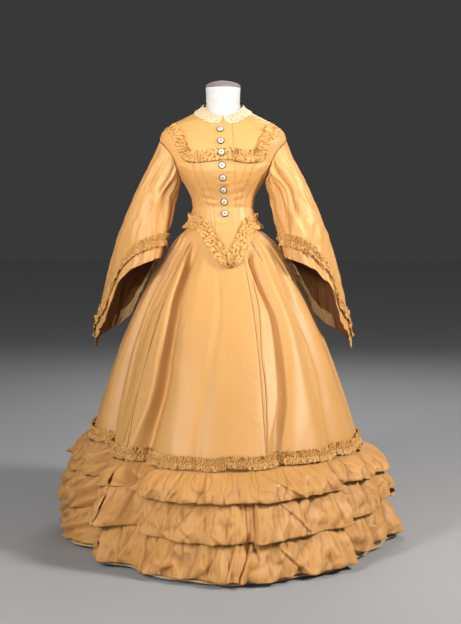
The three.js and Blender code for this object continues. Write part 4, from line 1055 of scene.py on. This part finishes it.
BODICE_PANELS = [
    ("front_right", lambda h: -side_turn(h), lap_turn, 76, (0.9, -0.15), (0.42, 0.52)),
    ("front_left", lap_turn, side_turn, 56, (0.1, 0.9), (0.32, 0.50)),
    ("side_left", lambda h: 0.5 - side_turn(h), lambda h: 0.5 - back_seam(h), 30, (0.9, 0.9), (0.22, 0.46)),
    ("back", lambda h: 0.5 - back_seam(h), lambda h: 0.5 + back_seam(h), 50, (0.9, 0.9), (0.34, 0.46)),
    ("side_right", lambda h: 0.5 + back_seam(h), lambda h: 0.5 + side_turn(h), 30, (0.9, 0.9), (0.22, 0.46)),
]
for name, first, last, columns, grooves, cut in BODICE_PANELS:
    piece = bodice_panel("bodice_" + name, first, last, columns, grooves)
    place(piece, ["bodice_" + name])

# Dark strips of painted shade along the bodice's seams and darts.
for k, (path, *_) in enumerate(BODICE_LINES):
    piece = seam_shade_strip(f"bodice_seam_{k + 1}", bodice_surface, path, 1.3, SEAM_SHADE, 0.35)
    place(piece, ["bodice_front_right" if path[0][0] < 0 else "bodice_front_left"])

# The seams of the skirt's front show as dark lines: strips of painted shade laid along them.
for k, (path, node) in enumerate((
    ([(-0.125, 905), (-0.1279, 850), (-0.1209, 687), (-0.1265, 452), (-0.1309, 335)], "skirt_side_right"),
    ([(0.0668, 800), (0.0668, 717), (0.0599, 591), (0.0614, 503), (0.0568, 326)], "skirt_side_left"),
    ([(0.091, 944), (0.097, 924), (0.1095, 856)], "skirt_side_left"),
)):
    piece = seam_shade_strip(f"skirt_seam_{k + 1}", skirt_plain, path, 2.2, SEAM_SHADE, 0.9, 160)
    place(piece, [node])

# ---------------------------------------------------------------- sleeves
def sleeve_hem(degrees):
    return read(SLEEVE_HEM, 1, (degrees + 25) % 360 - 25)


def sleeve_section(degrees, height):
    angle = np.radians(degrees)
    outer, inner = read(SLEEVE_SECTIONS, 1, height), read(SLEEVE_SECTIONS, 2, height)
    lean = 36 * smoothstep((1000 - height) / 150)
    x = (outer + inner) / 2 + (outer - inner) / 2 * np.cos(angle) - lean * np.sin(angle)
    y = read(SLEEVE_SECTIONS, 3, height) - read(SLEEVE_SECTIONS, 4, height) * np.sin(angle)
    return np.stack([x, y, height], -1)


def armhole_point(degrees):
    angle = np.radians(degrees)
    height = ARMHOLE["height"] + ARMHOLE["half_height"] * np.cos(angle)
    turn = 0.25 - ARMHOLE["half_turn"] * np.sin(angle)
    return bodice(turn, height) + outward(bodice, turn, height, 0.0015, 0.7) * 0.5


def sleeve_plain(degrees, share):
    degrees, share = spread(degrees, share)
    start = armhole_point(degrees)
    height = start[..., 2] * (1 - share) + sleeve_hem(degrees) * share
    offset = start - sleeve_section(degrees, start[..., 2])
    return sleeve_section(degrees, height) + offset * (1 - smoothstep(share / 0.3))[..., None]


def sleeve_normal(degrees, share):
    across = sleeve_plain(degrees + 1, share) - sleeve_plain(degrees - 1, share)
    along = sleeve_plain(degrees, share + 0.004) - sleeve_plain(degrees, share - 0.004)
    out = np.cross(across, along)
    return out / np.linalg.norm(out, axis=-1, keepdims=True)


# Creases of the sleeves: (degrees, height) at both ends, depth, width.
SLEEVE_CREASES = {
    "right": [((110, 1196), (118, 880), -8.0, 24), ((70, 1180), (84, 1060), 7.0, 13),
              ((104, 1190), (112, 1040), 7.0, 12), ((52, 1150), (60, 1070), 4.0, 9),
              ((88, 1062), (96, 1020), 3.0, 5), ((80, 1050), (104, 1010), 2.6, 4),
              ((100, 1060), (90, 990), 2.6, 4), ((104, 1020), (112, 900), 5.0, 9),
              ((74, 1020), (40, 930), 1.8, 9), ((84, 1000), (66, 910), 1.8, 8),
              ((130, 1120), (140, 960), 5.0, 14), ((18, 960), (12, 760), 1.6, 12),
              ((40, 900), (38, 800), 1.5, 9), ((-30, 1180), (-40, 1000), 3.5, 16),
              ((-70, 1160), (-84, 940), 4.0, 16), ((-60, 960), (-50, 760), 3.0, 15),
              ((170, 1080), (180, 920), 4.0, 14), ((-100, 1120), (-108, 900), 4.4, 14)],
    "left": [((112, 1196), (120, 880), -8.0, 24), ((92, 1190), (98, 960), 10.0, 11),
             ((62, 1160), (70, 1080), 4.0, 8), ((70, 1100), (74, 1040), 3.4, 7),
             ((50, 1180), (56, 1110), 3.0, 8), ((108, 1120), (112, 1000), 5.0, 10),
             ((80, 1060), (92, 1010), 2.6, 5), ((128, 1130), (142, 950), 5.0, 13),
             ((30, 1020), (22, 860), 1.5, 12), ((62, 980), (70, 880), 1.8, 9),
             ((14, 900), (16, 740), 1.8, 12), ((-28, 1170), (-38, 990), 3.5, 16),
             ((-68, 1150), (-82, 950), 4.0, 16), ((-58, 940), (-50, 760), 3.0, 15),
             ((172, 1070), (182, 910), 4.0, 14), ((-98, 1110), (-106, 890), 4.4, 14)],
}


SLEEVE_DEGREE = 1.75  # mm, roughly
SLEEVE_SEEDS = {"right": 71, "left": 83}


def sleeve_detail(degrees, share, height, which):
    """Height of a sleeve's creases and waves over its plain form, mm."""
    seed = SLEEVE_SEEDS[which]
    around = degrees * SLEEVE_DEGREE
    out = 0.6 * crumple(around, height * 0.5, seed, 90) + 1.7 * facets(around, height * 0.7, seed + 9, 62, 0.5)
    for (d0, h0), (d1, h1), depth, width in SLEEVE_CREASES[which]:
        centre = np.interp(height, [h1, h0], [d1, d0])
        away = (((degrees - centre) + 180) % 360 - 180) * SLEEVE_DEGREE
        fade = 0.3 * (h0 - h1)
        ends = smoothstep((height - h1) / fade) * smoothstep((h0 - height) / fade)
        bank = 0.8 * np.exp(-np.where(away > 0, away / (1.8 * width), -away / (0.5 * width)))
        out += ends * 1.5 * depth * (bank - np.exp(-(((away + 0.9 * width) / width) ** 2)))
    out += 1.2 * ripple(degrees / 11, seed + 3) * np.exp(-share * 22)  # eased in at the armhole
    hem_wave = 4.0 * ripple(degrees / 50, seed + 4) + 2.0 * ripple(degrees / 15, seed + 5)
    return (out + hem_wave * smoothstep((share - 0.6) / 0.4)) * smoothstep(share / 0.05)


def sleeve(degrees, share, which, lift=0.0):
    """The finished outer face of a sleeve at +X; which only picks its creases."""
    points = sleeve_plain(degrees, share)
    high = sleeve_detail(degrees, share, points[..., 2], which) + lift
    return points + sleeve_normal(degrees, share) * high[..., None]


def sided(grid, side):
    """A grid of points mirrored to the sleeve's side, kept facing out by turning its first way round."""
    grid = grid * np.array([side, 1, 1])
    return grid[::-1] if side > 0 else grid


def above_hem(degrees, above):
    """The share of a sleeve's length at mm above its hem."""
    return 1 - above / (armhole_point(degrees)[:, 2] - sleeve_hem(degrees))[:, None]


def sleeve_panel(which, side, part, first, last, columns):
    degrees = np.linspace(first + 0.1, last - 0.1, columns + 1)
    d, s = np.meshgrid(degrees, np.linspace(1, 0, 92), indexing="ij")
    piece = cloth(f"sleeve_{which}_{part}_silk", sided(sleeve(d, s, which), side), SILK, inner=SHADED_SILK_BACK)
    place(piece, [f"sleeve_{which}_{part}"])


SLEEVE_TRIM = {"length": 930, "steps": 690, "half_width": 18.5, "above_hem": 58, "crest": 10.0}


def sleeve_trim(which, side, seed):
    """The ruched trim, which runs all round in parallel to the hem."""
    degrees, along = (np.linspace(*ends, SLEEVE_TRIM["steps"]) for ends in ((-25, 335), (0, SLEEVE_TRIM["length"])))
    along, rows = spread(along[:, None], np.linspace(-1, 1, 11))
    across = rows * (1 + edge_wander(along, rows, seed)) * SLEEVE_TRIM["half_width"]
    sway = 1.3 * ripple(along / 11, seed + 8) * np.abs(rows)
    high = ruche_lift(along, rows, seed, SLEEVE_TRIM["crest"]) + 0.8
    # tops sets where the trim's shade is painted, in the gaps between its curls
    tops = curl_share(along, rows, seed)
    share = above_hem(degrees, SLEEVE_TRIM["above_hem"] + across)
    base = sleeve(degrees[:, None] + sway, share, which, high)
    trim(f"sleeve_trim_{which}_silk", (sided(base, side), tops[::-1] if side > 0 else tops),
         [f"sleeve_trim_{which}"])


def sleeve_frill(which, side):
    """The pleated lace frill inside the back of a sleeve's mouth."""
    count = 300
    degrees = np.linspace(162, 266, count)
    rows = np.linspace(0, 1, 12)
    scallop = np.abs(np.sin(np.linspace(0, 26 * math.pi, count)))[:, None]
    above = -2.5 + 48 * rows - 2.0 * scallop * (1 - rows)
    pleat = np.abs(((np.linspace(0, 30, count)[:, None] + 0.1 * rows) % 1) - 0.45) * 5.0
    base = sleeve(degrees[:, None] + 0 * rows, above_hem(degrees, above), which, -3.0 - pleat)
    piece = mesh_of(f"sleeve_frill_{which}_lace", sided(base, side), cells(*base.shape[:2]), lengths(base), FRILL)
    place(piece, [f"sleeve_frill_{which}"])


for which, side, trim_seed in (("right", -1, 91), ("left", 1, 97)):
    sleeve_panel(which, side, "upper", -120, 150, 112)
    sleeve_panel(which, side, "under", 150, 240, 42)
    sleeve_trim(which, side, trim_seed)
    sleeve_frill(which, side)

# ---------------------------------------------------------------- collar
LACE_PITCH = 17.0  # between flowers
NET_PITCH = 4.6


def is_thread(u, v, width):
    """True where a thread or a motif of the lace is. u is along the collar, v down it, both in mm."""
    net = [np.abs((way / NET_PITCH) % 1 - 0.5) > 0.36 for way in (u + v, u - v)]
    flower_u, down = ((u / LACE_PITCH) % 1 - 0.5) * LACE_PITCH, v - width * 0.62
    radius, petals = np.hypot(flower_u, down), np.cos(5 * np.arctan2(down, flower_u))
    flower = radius < 4.6 + 1.6 * petals
    eye = (radius < 1.7) | ((radius > 2.9) & (radius < 3.5) & (petals > 0.2))
    leaf_u, leaf_v = ((u / LACE_PITCH + 0.5) % 1 - 0.5) * LACE_PITCH, v - width * 0.33
    leaf = np.hypot(leaf_u * 1.1, leaf_v * 1.9) < 4.6
    vein = np.abs(leaf_u - 0.3 * leaf_v) < 0.45
    edge = (v > width - 2.6) | (v < 2.2)
    pierced = np.hypot((u % 3.4) - 1.7, v - (width - 1.5)) < 0.7
    return (net[0] | net[1] | (flower & ~eye) | (leaf & ~vein) | edge) & ~pierced


def collar():
    """A grid round the neck from one end of the collar to the other, with the lace's holes cut."""
    turns = np.linspace(2.5 / 360, 1 - 2.5 / 360, 520)
    t, s = np.meshgrid(turns, np.linspace(1, 0, 36), indexing="ij")
    spot = bodice(turns, neckline(turns) - 10)
    along = np.concatenate([[0], np.cumsum(np.linalg.norm(np.diff(spot, axis=0), axis=-1))])
    scallop = 1 + 0.10 * np.abs(np.sin(along / LACE_PITCH * math.pi)) - 0.06
    ends = np.minimum(along, along[-1] - along)
    rounded = np.where(ends < 14, np.sqrt(np.clip(1 - (1 - ends / 14) ** 2, 0.05, 1)), 1)
    drop = (collar_drop(turns) * scallop * (0.45 + 0.55 * rounded) * 1.12)[:, None]
    base = bodice(t, neckline(t) - 1 - drop * s)
    wavy = 0.8 * ripple(along / 24, 5)[:, None] * s
    points = base + normals(base) * (2.6 + wavy + 1.2 * s ** 3)[..., None]
    keep = is_thread(along[:, None] + 0 * s, drop * s, drop)[:-1, :-1]
    return cloth("collar_lace", points, LACE, thickness=0.7, keep=keep)


place(collar(), ["collar"])

# ---------------------------------------------------------------- buttons
def turned(name, profile, segments, material):
    """A lathed solid about +Z. profile is (radius, height) from the rim of its underside up."""
    angle = TURN * np.arange(segments) / segments
    rings = [np.stack([radius * np.cos(angle), radius * np.sin(angle), 0 * angle + z], -1) for radius, z in profile]
    return loft(name, rings, material)


BUTTON_LIFTS = (1.2, 1.2, 7.6, 1.0, 1.0, 1.2, 1.6, 1.2)  # the third lies on the yoke trim
BUTTON_PARTS = (
    ("rim", [(9.4, 0), (10.9, 0.6), (11.3, 1.8), (10.8, 2.9), (9.6, 3.4), (8.6, 3.2)], 36, RIM),
    ("shell", [(8.7, 2.2), (8.7, 3.2), (7.9, 4.4), (6.4, 5.2), (4.6, 5.5), (3.8, 5.1)], 36, PEARL),
    ("eye", [(3.9, 4.6), (3.8, 5.6), (2.8, 6.4), (1.2, 6.8)], 24, EYE),
)
for k, lift in enumerate(BUTTON_LIFTS):
    height = BUTTON_TOP - k * BUTTON_SPACING
    turn = turn_at_side(button_side(height), height)
    normal = outward(bodice, turn, height, 0.002, 1.0)
    for kind, profile, segments, material in BUTTON_PARTS:
        piece = turned(f"button_{k + 1}_{kind}", profile, segments, material)
        piece.rotation_euler = Vector(normal).to_track_quat("Z", "Y").to_euler()
        piece.location = Vector((bodice(turn, height) + normal * lift) * 0.001)
        place(piece, [f"button_{k + 1}"])

# ---------------------------------------------------------------- dress form
def rings_solid(name, rings, columns, material):
    """A closed solid through rings of (height, side, front, back, squareness), from the bottom up."""
    turns = np.arange(columns) / columns
    points = np.array([ring_at(turns, 0 * turns + height, *shape) for height, *shape in rings])
    angle = np.arctan2(points[..., 0], -points[..., 1])
    return loft(name, points, material, np.stack([60 * angle, points[..., 2]], -1))


def round_rings(spots):
    """Round rings from places of (height, radius)."""
    return [(height, radius, radius, radius, 2) for height, radius in spots]


FORM_FOOT = [(850, 126, 104, 114, 2), (852, 134, 112, 122, 2), (890, 124, 104, 112, 2), (930, 106, 94, 92, 2),
             (962, 94, 88, 80, 2), (990, 86, 80, 66, 2)]
form_rings = list(FORM_FOOT)
for height in np.linspace(WAIST, 1340, 48):
    inset = 7 + 4 * smoothstep((1290 - height) / 40)  # clear of the bodice, by less at the neck
    form_rings.append((height, *(read(TORSO_RINGS, column, height + 6) - inset for column in (1, 2, 3)),
                       read(TORSO_RINGS, 4, height)))
form_rings += round_rings([(1346, 52.5), (1352, 52), (1366, 52.6), (1376, 53.2), (1384, 53.8), (1386, 53.4)])
place(rings_solid("form_body", form_rings, 96, COTTON), ["form_torso"])

dome = [(1391.5 + 16.5 * share, 53.4 * math.cos(share * math.pi / 2 * 0.97) ** 0.62)
        for share in np.linspace(0.04, 1, 12)]
cap_rings = round_rings([(1386.6, 53.6), (1387.6, 54.2), (1390, 54.2), (1391.4, 53.6)] + dome)
place(rings_solid("form_cap", cap_rings, 96, CAP), ["form_neck_cap"])

for node in ("stand_pole", "stand_base"):
    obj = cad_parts[node]
    obj.data.materials.clear()
    obj.data.materials.append(STEEL)

# ---------------------------------------------------------------- room, light and camera
FLOOR, *_ = new_material("pale floor", {
    "Base Color": (0.33, 0.33, 0.338, 1), "Roughness": 0.9, "Specular IOR Level": 0.1})
bpy.ops.mesh.primitive_plane_add(size=40)
floor = bpy.context.object
floor.name = "floor"
floor.data.materials.append(FLOOR)


def softbox(name, location, target, size, power, color, beam=180):
    """A soft rectangular light. Places and size are in metres, the beam in degrees."""
    light = bpy.data.lights.new(name, "AREA")
    light.shape = "RECTANGLE"
    light.size, light.size_y = size
    light.energy = power
    light.spread = math.radians(beam)
    light.color = color
    obj = bpy.data.objects.new(name, light)
    obj.location = location
    obj.rotation_euler = (Vector(target) - Vector(location)).to_track_quat("-Z", "Y").to_euler()
    bpy.context.scene.collection.objects.link(obj)


WARM, MILD, WHITE = (1.0, 0.97, 0.93), (1.0, 0.98, 0.96), (1.0, 1.0, 1.0)
softbox("left", (-2.2, -2.5, 2.1), (0, 0, 1.35), (0.5, 0.8), 86, WARM)
softbox("right", (2.6, -1.2, 2.2), (0, 0, 1.2), (0.5, 0.8), 130, WARM)
softbox("chest", (-0.6, -2.8, 1.7), (0, 0, 1.36), (0.4, 0.4), 4.2, MILD, 40)
softbox("low", (-1.7, -2.4, 0.8), (0.05, -0.45, 0.12), (0.3, 0.3), 0.8, WARM, 32)
softbox("front", (0.9, -4.6, 1.5), (0, 0, 1.2), (0.9, 0.9), 12, MILD)
softbox("rear", (0.6, 3.2, 3.0), (0, 0, 0.9), (1.8, 1.6), 60, WHITE)
# The sky stands for a plain wall: dim above the head, paler towards the zenith, which lights the dress.
world = bpy.data.worlds.new("studio")
bpy.context.scene.world = world
world.use_nodes = True
sky = world.node_tree
split = add(sky, "SeparateXYZ")
by_angle = add(sky, "MapRange", {"From Min": 0.16, "From Max": 0.5})
sky.links.new(add(sky, "TexCoord").outputs["Generated"], split.inputs["Vector"])
sky.links.new(split.outputs["Z"], by_angle.inputs["Value"])
wall = blend(sky, by_angle.outputs["Result"], (0.37, 0.372, 0.378), (1.05, 1.055, 1.07))
sky.links.new(wall.outputs["Result"], sky.nodes["Background"].inputs["Color"])
sky.nodes["Background"].inputs["Strength"].default_value = 0.11

CAMERA = {"lens": 70.04, "sensor": 36, "location": (0.023, -3.794, 1.02), "tilt": 4.94}  # mm, metres, degrees down
camera = bpy.data.cameras.new("camera")
camera.lens, camera.sensor_width = CAMERA["lens"], CAMERA["sensor"]
camera_object = bpy.data.objects.new("camera", camera)
camera_object.location = CAMERA["location"]
camera_object.rotation_euler = (math.radians(90 - CAMERA["tilt"]), 0, 0)
bpy.context.scene.collection.objects.link(camera_object)
bpy.context.scene.camera = camera_object
bpy.context.scene.view_settings.view_transform = "Standard"
